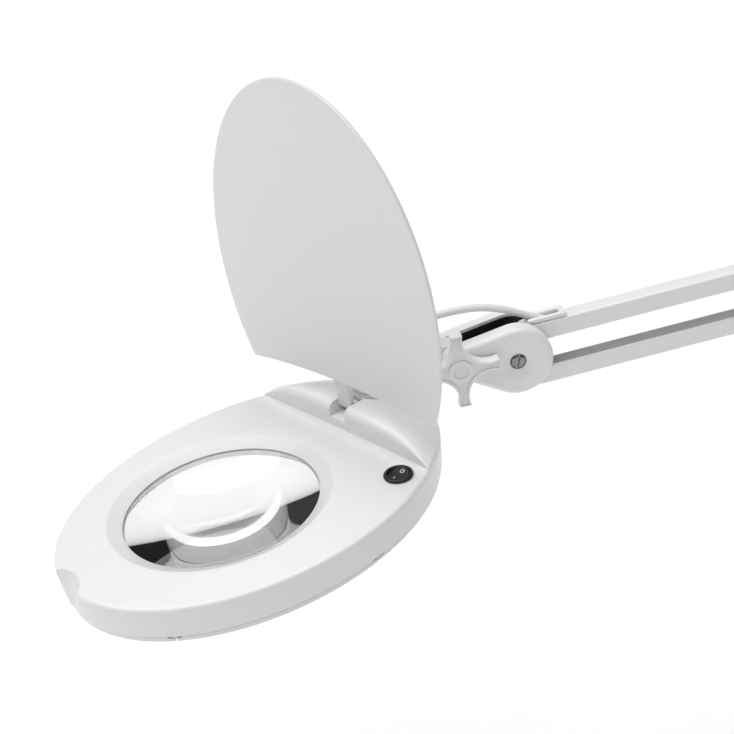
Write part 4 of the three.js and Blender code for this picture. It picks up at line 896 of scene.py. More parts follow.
def screw_tree():
    """Cross-head screws that point down, one on each point."""
    tree, source = tree_of("cross_head_screws", {
        "Radius": "NodeSocketFloat", "Head Radius": "NodeSocketFloat", "Length": "NodeSocketFloat",
        "Material": "NodeSocketMaterial"})
    head = put(tree, "GeometryNodeMeshCylinder",
               {"Vertices": 40, "Radius": source.outputs["Head Radius"], "Depth": 1.8})
    slots = []
    for turn in (0.0, math.pi / 2):
        slot = put(tree, "GeometryNodeMeshCube", {"Size": (3.6, 0.8, 1.6)})
        placed = put(tree, "GeometryNodeTransform",
                     {0: slot.outputs[0], "Translation": (0, 0, -0.9), "Rotation": (0, 0, turn)})
        slots.append(placed.outputs[0])
    crossed = put(tree, "GeometryNodeMeshBoolean", {0: head.outputs[0]}, operation="DIFFERENCE")
    for slot in slots:
        tree.links.new(slot, crossed.inputs[1])
    shank = put(tree, "GeometryNodeMeshCylinder",
                {"Vertices": 24, "Radius": source.outputs["Radius"], "Depth": source.outputs["Length"]})
    rise = put(tree, "ShaderNodeMath", {0: source.outputs["Length"], 1: 0.5}, operation="MULTIPLY")
    lift = put(tree, "ShaderNodeCombineXYZ", {2: rise.outputs[0]})
    stem = put(tree, "GeometryNodeTransform", {0: shank.outputs[0], "Translation": lift.outputs[0]})
    screw = put(tree, "GeometryNodeJoinGeometry", {0: crossed.outputs[0]})
    tree.links.new(stem.outputs[0], screw.inputs[0])
    spread = put(
        tree, "GeometryNodeInstanceOnPoints",
        {0: source.outputs["Geometry"], "Instance": screw.outputs[0]}
    )
    closed_tree(tree, spread.outputs[0])
    return tree


def chip_tree(size):
    """Light chips of one size, evenly round a circle, each facing outwards."""
    tree, source = tree_of("ring_of_chips", {
        "Count": "NodeSocketInt", "Radius": "NodeSocketFloat", "Material": "NodeSocketMaterial"})
    circle_of = put(tree, "GeometryNodeMeshCircle",
                    {"Vertices": source.outputs["Count"], "Radius": source.outputs["Radius"]})
    place = put(tree, "GeometryNodeInputPosition")
    facing = put(tree, "FunctionNodeAlignRotationToVector", {"Vector": place.outputs[0]}, axis="X")
    chip = put(tree, "GeometryNodeMeshCube", {"Size": size})
    spread = put(tree, "GeometryNodeInstanceOnPoints", {
        0: circle_of.outputs[0], "Instance": chip.outputs[0], "Rotation": facing.outputs[0]})
    closed_tree(tree, spread.outputs[0])
    return tree


def spring_tree():
    """A tension spring along Z: a close coil between two round end loops, one at each point."""
    tree, source = tree_of("tension_spring", {
        "Radius": "NodeSocketFloat", "Wire": "NodeSocketFloat", "Length": "NodeSocketFloat",
        "Turns": "NodeSocketFloat", "Material": "NodeSocketMaterial"})
    coil = put(tree, "GeometryNodeCurveSpiral", {
        "Resolution": 16, "Rotations": source.outputs["Turns"],
        "Start Radius": source.outputs["Radius"],
        "End Radius": source.outputs["Radius"], "Height": source.outputs["Length"]})
    loops = put(
        tree, "GeometryNodeCurvePrimitiveCircle", {"Resolution": 28, "Radius": source.outputs["Radius"]}
    )
    upright_loop = put(
        tree, "GeometryNodeTransform", {0: loops.outputs[0], "Rotation": (0, math.pi / 2, 0)}
    )
    shift = put(tree, "ShaderNodeMath", {0: source.outputs["Radius"], 1: -0.9}, operation="MULTIPLY")
    low = put(tree, "ShaderNodeCombineXYZ", {2: shift.outputs[0]})
    first = put(
        tree, "GeometryNodeTransform", {0: upright_loop.outputs[0], "Translation": low.outputs[0]}
    )
    reach = put(
        tree, "ShaderNodeMath", {0: source.outputs["Length"], 1: shift.outputs[0]}, operation="SUBTRACT"
    )
    high = put(tree, "ShaderNodeCombineXYZ", {2: reach.outputs[0]})
    last = put(
        tree, "GeometryNodeTransform", {0: upright_loop.outputs[0], "Translation": high.outputs[0]}
    )
    curves = put(tree, "GeometryNodeJoinGeometry", {0: coil.outputs[0]})
    tree.links.new(first.outputs[0], curves.inputs[0])
    tree.links.new(last.outputs[0], curves.inputs[0])
    half_wire = put(tree, "ShaderNodeMath", {0: source.outputs["Wire"], 1: 0.5}, operation="MULTIPLY")
    section = put(
        tree, "GeometryNodeCurvePrimitiveCircle", {"Resolution": 10, "Radius": half_wire.outputs[0]}
    )
    wire = put(tree, "GeometryNodeCurveToMesh",
               {0: curves.outputs[0], 1: section.outputs[0], "Fill Caps": True})
    spread = put(
        tree, "GeometryNodeInstanceOnPoints",
        {0: source.outputs["Geometry"], "Instance": wire.outputs[0]}
    )
    closed_tree(tree, spread.outputs[0])
    return tree


class LampLights(LampOperator):
    """Makes the ring board and its light chips, above the frosted window."""
    bl_idname = "lamp.lights"
    bl_label = "Light board"

    def make(self, sizes, colours):
        inner, outer, top, thickness = 69.5, 83.0, -11.0, 1.6
        under = top - thickness
        ring = turned([(inner, under), (outer, under), (outer, top), (inner, top)], 160, closed=True)
        hand_in(ring, "ring_board", HEAD, "white_lacquered_board", "head", "led_board", "led_board")
        middle = (inner + outer) / 2
        for name, material, size, depth in [
            ("chip_cases", "moulded_abs", (2.8, 3.5, 0.8), 0.4),
            ("chip_phosphors", "phosphor_chip", (2.2, 2.9, 0.1), 0.84),
        ]:
            chips = grown([(0, 0, 0)], chip_tree(size), {
                "Count": sizes.chip_count, "Radius": middle, "Material": bpy.data.materials[material]})
            moved(chips, Matrix.Translation((0, 0, under - depth)))
            hand_in(chips, name, HEAD, material, "head", "led_board")


class LampSwitch(LampOperator):
    """Makes the round rocker switch: its bezel, its rocker and the two printed marks on it."""
    bl_idname = "lamp.switch"
    bl_label = "Switch"

    def make(self, sizes, colours):
        low = TOP_RISE - 0.35
        hole = SWITCH_HOLE
        flange = 9.4
        rocker_radius = 6.9
        dish_radius = 26
        dish_centre = 27.1
        ring_place = 3.6
        inner = rocker_radius + GAP
        bezel = turned([
            (0, -14), (hole, -14), (hole, low), (flange, low), (flange - 0.1, low + 0.7),
            (flange - 0.45, low + 1.2), (flange - 1.0, low + 1.45),
            (inner + 0.4, low + 1.4), (inner, low + 1.1), (inner, -5.8), (0, -5.8),
        ])
        tags = [box(-2.4, 2.4, y - 0.4, y + 0.4, -19, -13.8) for y in (-3.5, 3.5)]
        bezel = moved(joined(bezel, *tags), Matrix.Translation((*SWITCH_PLACE, 0)))
        hand_in(bezel, "switch_bezel", HEAD, "black_nylon", "head", "switch_black", "switch_body")

        tilt = Matrix.Rotation(math.radians(7), 4, "X")
        rocker_place = HEAD @ Matrix.Translation((*SWITCH_PLACE, 0)) @ tilt
        disc = turned([
            (0, -2.2), (rocker_radius - 0.25, -2.2), (rocker_radius - 0.25, 1.75),
            (rocker_radius - 0.6, 2.1), (0, 2.1),
        ])
        rocker = cut(disc, rod(dish_radius, (-12, 0, dish_centre), (12, 0, dish_centre), 360))
        hand_in(
            rocker, "rocker", rocker_place, "black_nylon", "rocker", "switch_black", "switch_rocker"
        )

        def dish_height(y):
            """The printed ink's level on the dished face of the rocker."""
            return dish_centre - math.sqrt(dish_radius ** 2 - y ** 2) + 0.06

        ring = []
        for radius, lift in ((1.0, -0.2), (1.5, -0.2), (1.5, 0), (1.0, 0)):
            ring.append([
                (
                    radius * math.cos(a),
                    ring_place + radius * math.sin(a),
                    dish_height(ring_place + radius * math.sin(a)) + lift,
                )
                for a in [2 * math.pi * i / 40 for i in range(40)]
            ])
        marks = loft(ring, closed=True)
        bar = box(-0.25, 0.25, -5.2, -2.6, dish_height(3.9) - 0.3, dish_height(3.9) + 0.02)
        marks = joined(marks, bar)
        hand_in(marks, "rocker_marks", rocker_place, "pad_printed_ink", "rocker", "switch_black")


class LampCover(LampOperator):
    """Makes the flip-up lens cover with its hinge tab, and the pin that it turns on."""
    bl_idname = "lamp.cover"
    bl_label = "Lens cover"

    def make(self, sizes, colours):
        overhang = 3.2
        thickness = 2.6
        clearance = 1.8
        low = TOP_RISE + clearance
        rear_y = 97.0
        arch = 8.0
        sweep = (HALF_WIDTH ** 2 + arch ** 2) / (2 * arch)
        centre = rear_y - arch + sweep

        def rear_edge(x):
            """The arched rear edge, across the cover."""
            return centre - math.sqrt(sweep ** 2 - x ** 2)

        front = [(x, y) for x, y, _ in oval(-overhang, 0) if y < rear_edge(x)]

        def bearing(point):
            return (math.atan2(point[1] - CENTRE_Y, point[0]) - math.pi / 2) % (2 * math.pi)

        ordered = sorted(front, key=bearing)
        reach = ordered[-1][0] - 2
        arc = [(reach - 2 * reach * i / 40, rear_edge(reach - 2 * reach * i / 40)) for i in range(41)]
        outline = ordered + arc
        disc = loft([[(x, y, z) for x, y in outline] for z in (low, low + thickness)])
        disc = rounded(disc, sizes.cover_round / MM, 4, 30)
        tab_top = HINGE_Z - 1.5
        tab_low = tab_top - 3.5
        side = [
            (HINGE_Y, tab_low), (HINGE_Y, tab_top), (74, tab_top),
            (60, low + 1.5), (76, low + 1.5), (82, tab_low),
        ]
        tab = loft([[(x, y, z) for y, z in side] for x in (-TAB_HALF, TAB_HALF)])
        tab = rounded(tab, 0.6, 3, 30)
        knuckle = rod(3.7, (-TAB_HALF, HINGE_Y, HINGE_Z), (TAB_HALF, HINGE_Y, HINGE_Z), 64)
        bore = rod(HINGE_PIN_HOLE, (-16, HINGE_Y, HINGE_Z), (16, HINGE_Y, HINGE_Z))
        cover = cut(joined(disc, tab, knuckle), bore)
        moved(cover, Matrix.Translation((0, -HINGE_Y, -HINGE_Z)))
        hand_in(cover, "flip_cover", COVER, "moulded_abs", "cover", "white_plastic", "lens_cover")

        reach = POCKET + 4 - GAP
        pin = rod(HINGE_PIN_RADIUS, (-reach, HINGE_Y, HINGE_Z), (reach, HINGE_Y, HINGE_Z))
        pin = rounded(pin, 0.3)
        hand_in(pin, "cover_pin", HEAD, "zinc_plated_steel", "head", "steel", "cover_hinge_pin")


class LampNeck(LampOperator):
    """Makes the neck: a round foot that turns on the head, and the arm up to the tilt bolt."""
    bl_idname = "lamp.neck"
    bl_label = "Neck"

    def make(self, sizes, colours):
        foot = BOSS_TOP + GAP
        top = foot + 4
        radius = 19.5
        stem = turned([
            (0, 3), (5.5, 3), (6, 3.5), (6, foot), (radius - 0.3, foot), (radius, foot + 0.3),
            (radius, top - 1.6), (radius - 0.25, top - 0.8), (radius - 0.8, top - 0.25), (radius - 1.6, top),
            (0, top),
        ])
        bolt = (NECK.inverted() @ joint_point("head_tilt")).xz
        tongue = 7.4
        sides = belt([(-6, top + 4, 6), (10, top - 0.5, 3), (bolt.x, bolt.y, 9.4), (2, top + 12, 9)])
        arm = prism(sides, -tongue, tongue)
        arm = rounded(arm, 1.4, 4, 30)
        to_joint = NECK.inverted() @ JOINT
        lead_start = to_joint @ Vector((*LEAD_OVER_JOINT[0][:1], 0, LEAD_OVER_JOINT[0][1]))
        lead_next = to_joint @ Vector((*LEAD_OVER_JOINT[1][:1], 0, LEAD_OVER_JOINT[1][1]))
        run = (lead_next - lead_start).normalized()
        neck = cut(
            joined(stem, arm),
            rod(BOLT_HOLE, (bolt.x, -15, bolt.y), (bolt.x, 15, bolt.y)),
            rod(LEAD_RADIUS + GAP, lead_start - run * GAP, lead_start + run * 12),
        )
        hand_in(neck, "neck_arm", NECK, "moulded_abs", "neck", "white_plastic", "neck_bracket")


JOINT_SPAN = 41.6
CHEEK_RADIUS = 24.7
CHEEK_END = 10.0
CHEEK_INNER = 8.0
CHEEK_OUTER = 20.0
BOLT_RADIUS = 3.0
PIN_RADIUS = 2.5
PIN_HOLE = 2.8
POST_HOLE = 6.3
PLATE_CLEARANCE = 0.6
PIVOT_MARGIN = 9.5


class LampCheeks(LampOperator):
    """Makes the two rounded cheeks of the joint housing, each with a shallow dish round its screw."""
    bl_idname = "lamp.cheeks"
    bl_label = "Joint housing"

    def make(self, sizes, colours):
        circles = [(0, 0, CHEEK_RADIUS), (-JOINT_SPAN, 0, CHEEK_END)]

        def ring(inset, y):
            return [(x, y, z) for x, z in belt(circles, inset, 48)]

        over = 4.5
        rings = [
            ring(2.5, 13), ring(2.5, CHEEK_INNER + 0.3), ring(2.2, CHEEK_INNER), ring(0.3, CHEEK_INNER)
        ]
        rings += [ring(0, CHEEK_INNER + 0.3)]
        for step in range(13):
            angle = math.pi / 2 * step / 12
            rings.append(ring(
                over * (1 - math.cos(angle)), CHEEK_OUTER - over + over * math.sin(angle)
            ))
        rings.append(ring(over + 1.5, CHEEK_OUTER))
        body = loft(rings)
        profile = [
            (0, 0), (4.8, 0), (6.2, 0.18), (7.8, 0.7), (9.4, 1.4), (10.8, 2.02), (12, 2.5),
            (12.8, 2.72), (13, 5), (0, 5)
        ]
        dish = moved(
            turned(profile, 128),
            Matrix.Translation((0, CHEEK_OUTER - 2.5, 0)) @ Matrix.Rotation(-math.pi / 2, 4, "X")
        )
        seat = rod(5.7, (0, CHEEK_OUTER - 4.2, 0), (0, CHEEK_OUTER + 2, 0), 96)

        def at_both(screw_radius, bolt_radius, start, end):
            """Two rods across the cheek, one at the centre screw and one at the tilt bolt."""
            return [
                rod(screw_radius, (0, start, 0), (0, end, 0)),
                rod(bolt_radius, (-JOINT_SPAN, start, 0), (-JOINT_SPAN, end, 0)),
            ]

        bores = at_both(PIN_HOLE, BOLT_HOLE, 0, 30)
        screw_boss = 7.5
        bolt_boss = 5
        bosses = at_both(screw_boss, bolt_boss, CHEEK_INNER, CHEEK_OUTER - 3)
        far = cut(joined(body, *bosses), dish, seat, *bores)
        near = mirrored(copied(far))
        # The black nylon pieces inside both cheeks are painted shade: they darken the cheeks' hollows and stand in
        # for the shade deep inside them.
        painted_shade_liner = rounded(prism(belt(circles, 2.8, 48), CHEEK_INNER + 0.4, CHEEK_INNER + 2.4), 0.3, 2, 50)
        painted_shade_liner = cut(painted_shade_liner, *at_both(screw_boss + GAP, bolt_boss + GAP, 0, 30))
        for piece, name, material, slot, node in [
            (mirrored(copied(painted_shade_liner)), "liner_near", "black_nylon", "switch_black", "friction_liner_near"),
            (painted_shade_liner, "liner_far", "black_nylon", "switch_black", "friction_liner_far"),
            (far, "cheek_far_shell", "moulded_abs", "white_plastic", "cheek_far"),
            (near, "cheek_near_shell", "moulded_abs", "white_plastic", "cheek_near"),
        ]:
            hand_in(piece, name, JOINT, material, "joint_housing", slot, node)


class LampJointScrews(LampOperator):
    """Makes the slotted centre screw with its nut, and the tilt bolt that the knob turns on."""
    bl_idname = "lamp.joint_screws"
    bl_label = "Joint screws"

    def make(self, sizes, colours):
        low = CHEEK_OUTER - 3.9
        head = turned([
            (0, 0), (5.2, 0), (5.4, 0.2), (5.4, 1.1), (5.1, 1.7), (4.4, 2.15), (3.2, 2.36),
            (0, 2.4)], 96)
        moved(head, Matrix.Translation((0, -low, 0)) @ Matrix.Rotation(math.pi / 2, 4, "X"))
        shank = rod(PIN_RADIUS, (0, -low - 0.5, 0), (0, CHEEK_OUTER - 1.2, 0))
        slot = moved(
            box(-0.75, 0.75, -low - 3, -low - 1.1, -8, 8), Matrix.Rotation(math.radians(8), 4, "Y")
        )
        screw = cut(joined(head, shank), slot)
        hand_in(
            screw, "slotted_screw", JOINT, "chromed_steel", "joint_housing", "chromed", "centre_screw"
        )

        def hexagon(flats, height, bore):
            """A hexagonal nut, or a bolt's head where there is no bore."""
            corner = flats / math.sqrt(3)
            blank = rounded(turned([(0, 0), (corner, 0), (corner, height), (0, height)], 6), 0.35, 2)
            return cut(blank, upright(bore, 0, 0, -1, height + 1)) if bore else blank

        lie = Matrix.Rotation(-math.pi / 2, 4, "X")
        nut = moved(hexagon(8, 3, PIN_HOLE), Matrix.Translation((0, low, 0)) @ lie)
        hand_in(nut, "hex_nut", JOINT, "zinc_plated_steel", "joint_housing", "steel", "centre_nut")

        seat = CHEEK_OUTER + GAP
        head = moved(
            hexagon(6.2 * math.sqrt(3), 4, 0), Matrix.Translation((-JOINT_SPAN, seat, 0)) @ lie
        )
        shank = rod(BOLT_RADIUS, (-JOINT_SPAN, seat + 1, 0), (-JOINT_SPAN, -CHEEK_OUTER - 7, 0))
        bolt = joined(head, shank)
        hand_in(bolt, "hex_bolt", JOINT, "zinc_plated_steel", "joint_housing", "steel", "tilt_bolt")


class LampKnob(LampOperator):
    """Makes the four-armed star knob, whose raised rims follow its hollow sides."""
    bl_idname = "lamp.knob"
    bl_label = "Star knob"

    def outline(self, tip, width, waist, steps=28):
        """The star's outline: a hollow arc between each two arms, through their corners and the waist."""
        corner_along = (tip + width / 2) * math.sqrt(0.5)
        corner_across = (tip - width / 2) * math.sqrt(0.5)
        place = (corner_along ** 2 + corner_across ** 2 - waist ** 2) / (2 * (corner_along - waist))
        radius = place - waist
        sweep = math.atan2(corner_across, place - corner_along)
        points = []
        for arm in range(4):
            valley = (arm + 0.5) * math.pi / 2
            for step in range(steps + 1):
                angle = valley + math.pi + sweep - 2 * sweep * step / steps
                points.append((place * math.cos(valley) + radius * math.cos(angle),
                               place * math.sin(valley) + radius * math.sin(angle)))
        return points

    def make(self, sizes, colours):
        inner = -CHEEK_OUTER - 0.6
        thickness = 9.5
        outer = inner - thickness
        star = rounded(prism(self.outline(26.5, 8.6, 11.8), outer, inner), sizes.knob_round / MM, 4, 30)
        recess = prism(self.outline(25.4, 5.4, 9.8), outer - 2, outer + 1.1)
        collar = rod(8.2, (0, outer + 3, 0), (0, outer, 0), 96)
        dimple = moved(turned([(0, -2), (5.2, -2), (5.2, 0.9), (4.6, 1.3), (0, 1.4)], 96),
                       Matrix.Translation((0, outer, 0)) @ Matrix.Rotation(-math.pi / 2, 4, "X"))
        bore = rod(BOLT_HOLE, (0, inner + 1, 0), (0, -CHEEK_OUTER - 7.3, 0))
        star = joined(cut(star, recess), collar)
        star = cut(star, dimple, bore)
        turn = Matrix.Rotation(math.radians(-10), 4, "Y")
        hand_in(
            star, "star_knob_moulding", TILT @ turn, "moulded_abs", "knob", "white_plastic", "star_knob"
        )


BAR_WIDTH = 14.0
BAR_HEIGHT = 13.0
BAR_WALL = 1.5
LEAD_RADIUS = 2.6
LEAD_WAY = LEAD_RADIUS + GAP


class LampBars(LampOperator):
    """Makes the four folded steel channels of the arm; the upper front one has a slot for the lead."""
    bl_idname = "lamp.bars"
    bl_label = "Arm bars"

    def bar(self, edge, slot=False):
        round_end = BAR_HEIGHT / 2
        half = BAR_WIDTH / 2
        whole = rounded(
            prism(belt([(0, 0, round_end), (BAR_LENGTH, 0, round_end)]), -half, half), edge, 4, 50
        )
        tools = [box(
            -20, BAR_LENGTH + 20, -half + BAR_WALL, half - BAR_WALL, -20, round_end - BAR_WALL
        )]
        tools += [rod(PIN_HOLE, (x, -half - 1, 0), (x, half + 1, 0)) for x in (0, BAR_LENGTH)]
        if slot:
            tools.append(box(4, 24, -LEAD_WAY, LEAD_WAY, 0, BAR_HEIGHT))
        return cut(whole, *tools)

    def make(self, sizes, colours):
        edge = sizes.edge_round / MM
        flipped = Matrix.Rotation(math.pi, 4, "X")
        for name, place, body, node, turned_over in [
            ("upper_channel", UPPER_BAR, "upper_bar", "front_bar_upper", False),
            ("lower_channel", LOWER_BAR, "lower_bar", "front_bar_lower", True),
            ("rear_channel_a", REAR_BAR_A, "rear_bar_a", "rear_bar_front", False),
            ("rear_channel_b", REAR_BAR_B, "rear_bar_b", "rear_bar_back", True),
        ]:
            channel = self.bar(edge, slot=body == "upper_bar")
            if turned_over:
                moved(channel, flipped)
            hand_in(channel, name, place, "powder_coated_steel", body, "arm_metal", node)


class LampClip(LampOperator):
    """Makes the lead clip: two rounded ridges on the upper bar, joined behind the slot."""
    bl_idname = "lamp.clip"
    bl_label = "Lead clip"

    def make(self, sizes, colours):
        base = BAR_HEIGHT / 2 + GAP
        half = 13.2 / 2
        clip = cut(
            box(1, 28, -half, half, base, base + 3.4),
            box(0, 24, -LEAD_WAY, LEAD_WAY, base - 1, base + 5),
        )
        clip = rounded(clip, 1.1, 4, 40)
        hand_in(clip, "lead_ridges", UPPER_BAR, "moulded_abs", "upper_bar", "white_plastic", "lead_clip")


class LampPlates(LampOperator):
    """Makes the elbow's two side plates."""
    bl_idname = "lamp.plates"
    bl_label = "Elbow plates"

    def make(self, sizes, colours):
        half = PIVOT_PITCH / 2
        upper = ELBOW.inverted() @ joint_point("front_arm")
        lower = ELBOW.inverted() @ joint_point("lower_bar_pivot")
        corners = [(-half, 0), (half, 0), (upper.x, upper.z)]
        outline = belt([(*corner, PIVOT_MARGIN) for corner in corners], 0, 24)
        inner = BAR_WIDTH / 2 + PLATE_CLEARANCE
        thickness = 2.5
        plate = rounded(prism(outline, inner, inner + thickness), sizes.plate_round / MM, 3, 50)
        holes = [*corners, (lower.x, lower.z)]
        far = cut(plate, *[rod(PIN_HOLE, (x, 0, z), (x, 20, z)) for x, z in holes])
        near = mirrored(copied(far))
        for piece, side in ((far, "far"), (near, "near")):
            hand_in(piece, f"elbow_side_{side}", ELBOW, "powder_coated_steel", "elbow", "arm_metal",
                    f"elbow_plate_{side}")


class LampPins(LampOperator):
    """Makes the headed pins that the bars turn on and the cross-head screws under the head."""
    bl_idname = "lamp.pins"
    bl_label = "Pins and screws"

    def make(self, sizes, colours):
        tree = pin_tree()
        half = PIVOT_PITCH / 2
        upper = ELBOW.inverted() @ joint_point("front_arm")
        lower = ELBOW.inverted() @ joint_point("lower_bar_pivot")
        steel = bpy.data.materials["zinc_plated_steel"]
        for name, place, body, reach, points, nodes in [
            ("elbow_pins", ELBOW, "elbow", 11.7, [(-half, 0, 0), (half, 0, 0), upper, lower],
             ["elbow_pin_rear_front", "elbow_pin_rear_back", "elbow_pin_upper", "elbow_pin_lower"]),
            ("base_pins", BASE, "base", 12.2, [(-half, 0, BASE_PIVOT_Z), (half, 0, BASE_PIVOT_Z)],
             ["base_pin_front", "base_pin_back"]),
        ]:
            pins = grown(points, tree, {
                "Radius": PIN_RADIUS, "Half Length": reach, "Head Radius": 4.3, "Head Height": 1.4,
                "Material": steel})
            hand_in(pins, name, place, "zinc_plated_steel", body, "steel", *nodes)
        seat = LOWER_EDGE_Z + 1.1
        screws = grown([(x, y, seat) for x, y in SCREW_PLACES], screw_tree(), {
            "Radius": 1.5, "Head Radius": 3.1, "Length": -10 - seat, "Material": steel})
        hand_in(screws, "cross_head_screws", HEAD, "zinc_plated_steel", "head", "steel",
                *[f"housing_screw_{i}" for i in range(1, 5)])


class LampSprings(LampOperator):
    """Winds the two balance springs, each in the channel of a bar."""
    bl_idname = "lamp.springs"
    bl_label = "Balance springs"

    def make(self, sizes, colours):
        tree = spring_tree()
        wire = sizes.spring_wire / MM
        radius = 4.4 - wire / 2
        whole = 150.0
        hook = 22.0
        loop = 2 * radius * 0.9 + 0.5
        coil = whole - 2 * loop
        lie = Matrix.Rotation(math.pi / 2, 4, "Y")
        for name, place, body, node, start in [
            ("front_balance_spring", LOWER_BAR, "lower_bar", "front_spring", BAR_LENGTH - whole - hook),
            ("rear_balance_spring", REAR_BAR_B, "rear_bar_b", "rear_spring", hook),
        ]:
            spring = grown([(0, 0, 0)], tree, {
                "Radius": radius, "Wire": wire, "Length": coil,
                "Turns": coil / (sizes.spring_pitch / MM),
                "Material": bpy.data.materials["drawn_spring_wire"]})
            moved(spring, Matrix.Translation((start + loop, 0, 0)) @ lie)
            hand_in(spring, name, place, "drawn_spring_wire", body, "spring_steel", node)


class LampBase(LampOperator):
    """Makes the bracket at the foot of the arm, its post and the power inlet."""
    bl_idname = "lamp.base"
    bl_label = "Base bracket"

    def make(self, sizes, colours):
        floor = 46.3
        half = PIVOT_PITCH / 2
        inner = BAR_WIDTH / 2 + PLATE_CLEARANCE
        outer = inner + 3
        outline = belt([
            (-half, BASE_PIVOT_Z, PIVOT_MARGIN), (-14, floor + 6, 6),
            (14, floor + 6, 6), (half, BASE_PIVOT_Z, PIVOT_MARGIN),
        ])
        ears = rounded(prism(outline, -outer, outer), 1.0, 3, 50)
        ears = cut(ears, box(-60, 60, -inner, inner, floor + 8, BASE_PIVOT_Z + 40))
        flange = turned([
            (0, floor), (13.4, floor), (14, floor + 0.6), (14, floor + 7.2), (13.2, floor + 8),
            (0, floor + 8)
        ])
        bracket = cut(
            joined(ears, flange),
            upright(POST_HOLE, 0, 0, floor - 1, floor + 6.5),
            *[rod(PIN_HOLE, (x, -30, BASE_PIVOT_Z), (x, 30, BASE_PIVOT_Z)) for x in (-half, half)],
        )
        hand_in(
            bracket, "foot_bracket", BASE, "powder_coated_steel", "base", "arm_metal", "base_bracket"
        )

        post = turned([
            (0, 12), (5.3, 12), (6, 12.7), (6, floor + 5.5), (5.3, floor + 6.2), (0, floor + 6.2)
        ])
        hand_in(post, "turning_post", BASE, "zinc_plated_steel", "base", "steel", "swivel_post")

        z = floor + 13.7
        plate = rounded(box(22, 25, -7.3, 7.3, floor + 8.3, z + 6), 0.4)
        socket = rounded(rod(4.6, (24, 0, z), (31, 0, z)), 0.5)
        pin = rounded(rod(0.9, (25, 0, z), (29.5, 0, z)), 0.3)
        inlet = joined(cut(joined(plate, socket), rod(2.9, (26, 0, z), (32, 0, z))), pin)
        hand_in(inlet, "inlet_socket", BASE, "black_nylon", "base", "switch_black", "power_inlet")


class LampClamp(LampOperator):
    """Makes the table clamp: its frame and socket, the rubber pad, the threaded screw and its handle."""
    bl_idname = "lamp.clamp"
    bl_label = "Table clamp"

    def frame_outline(self):
        """The clamp's C shape, with round outer corners."""
        corner, reach, thickness, low = 6, 34, 9, -60
        outer = reach + thickness
        points = [(-32, 0), (reach, 0), (reach, low), (-14, low), (-14, low - thickness - 5)]
        arcs = [
            ((outer - corner, low - thickness - 5 + corner), -90),
            ((outer - corner, thickness - corner), 0)
        ]
        for (x, z), start in arcs:
            for i in range(9):
                angle = math.radians(start + 90 * i / 8)
                points.append((x + corner * math.cos(angle), z + corner * math.sin(angle)))
        for i in range(9):
            angle = math.radians(90 + 90 * i / 8)
            points.append((-29 + 3 * math.cos(angle), 6 + 3 * math.sin(angle)))
        return points

    def threaded(self, radius, pitch, low, high, depth=0.7):
        """A round bar with a thread cut on it."""
        sides, rows = 40, 10
        count = int((high - low) / pitch * rows)
        rings = []
        for row in range(count + 1):
            z = low + (high - low) * row / count
            fade = min(1, (z - low) / pitch, (high - z) / pitch)
            ring = []
            for i in range(sides):
                phase = ((z / pitch) - i / sides) % 1
                groove = max(0, 1 - abs(phase - 0.5) / 0.36)
                r = radius - depth * fade * min(1, 1.4 * groove) - 0.5 * (1 - fade)
                ring.append((
                    r * math.cos(2 * math.pi * i / sides), r * math.sin(2 * math.pi * i / sides), z
                ))
            rings.append(ring)
        return loft(rings)

    def make(self, sizes, colours):
        arms = rounded(prism(self.frame_outline(), -22, 22), 1.3, 4, 50)
        socket = turned([(0, 8), (14, 8), (14, 45), (13.7, 45.6), (13, 46), (0, 46)])
        collar = turned([(0, 9), (16.2, 9), (15, 9.5), (14.3, 10.4), (14, 12), (0, 12)])
        body = cut(
            joined(arms, socket, collar),
            upright(POST_HOLE, 0, 0, 11, 47),
            upright(5.3, 0, 0, -79, -59),
        )
        hand_in(body, "clamp_frame", BASE, "powder_coated_steel", "clamp", "arm_metal", "clamp_body")

        top, bottom, radius = -30, -35, 17
        profile = [(0, top - 0.8), (5, top - 0.8), (5.4, top)]
        for start in (8.5, 11.5, 14.5):
            profile += [
                (start - 0.5, top), (start - 0.3, top - 0.7), (start + 0.3, top - 0.7),
                (start + 0.5, top)
            ]
        profile += [
            (radius - 1, top), (radius - 0.3, top - 0.3), (radius, top - 1), (radius, bottom + 1),
            (radius - 1, bottom), (4, bottom), (4, bottom + 2.5), (0, bottom + 2.5),
        ]
        pad = turned(profile, 128)
        hand_in(pad, "grip_pad", BASE, "moulded_rubber", "pad", "pad_rubber", "clamp_pad")

        low = -121
        shank = self.threaded(5, sizes.thread_pitch / MM, low + 7, bottom - 0.4)
        tip = upright(3.4, 0, 0, bottom - 2, bottom + 2.2)
        hub = turned([
            (0, low - 10), (7.4, low - 10), (8.5, low - 8.9), (8.5, low + 6.4), (7.2, low + 8),
            (0, low + 8)
        ])
        screw = cut(joined(shank, tip, hub), rod(3.3, (-40, 0, low - 1), (40, 0, low - 1)))
        hand_in(screw, "threaded_screw", BASE, "zinc_plated_steel", "screw", "steel", "clamp_screw")

        handle = turned([
            (0, -36), (3.8, -36), (4.6, -35.2), (4.6, -31.6), (4.0, -31), (3, -31),
            (3, 31), (4.0, 31), (4.6, 31.6), (4.6, 35.2), (3.8, 36), (0, 36),
        ])
        moved(handle, Matrix.Translation((0, 0, low - 1)) @ Matrix.Rotation(math.pi / 2, 4, "Y"))
        hand_in(handle, "tommy_bar", BASE, "zinc_plated_steel", "screw", "steel", "clamp_handle")


# ---------------------------------------------------------------- the lead, along its whole way

# Over the joint housing, from the neck to the upper bar's slot, from the centre screw.
LEAD_OVER_JOINT = [
    (-86, 6), (-81, 15.5), (-71, 23), (-56, 28.2), (-40, 31.8), (-25, 33.2), (-10, 31.6), (4, 27.7),
    (15.3, 24.2), (24.5, 22), (33.3, 21.4),
]
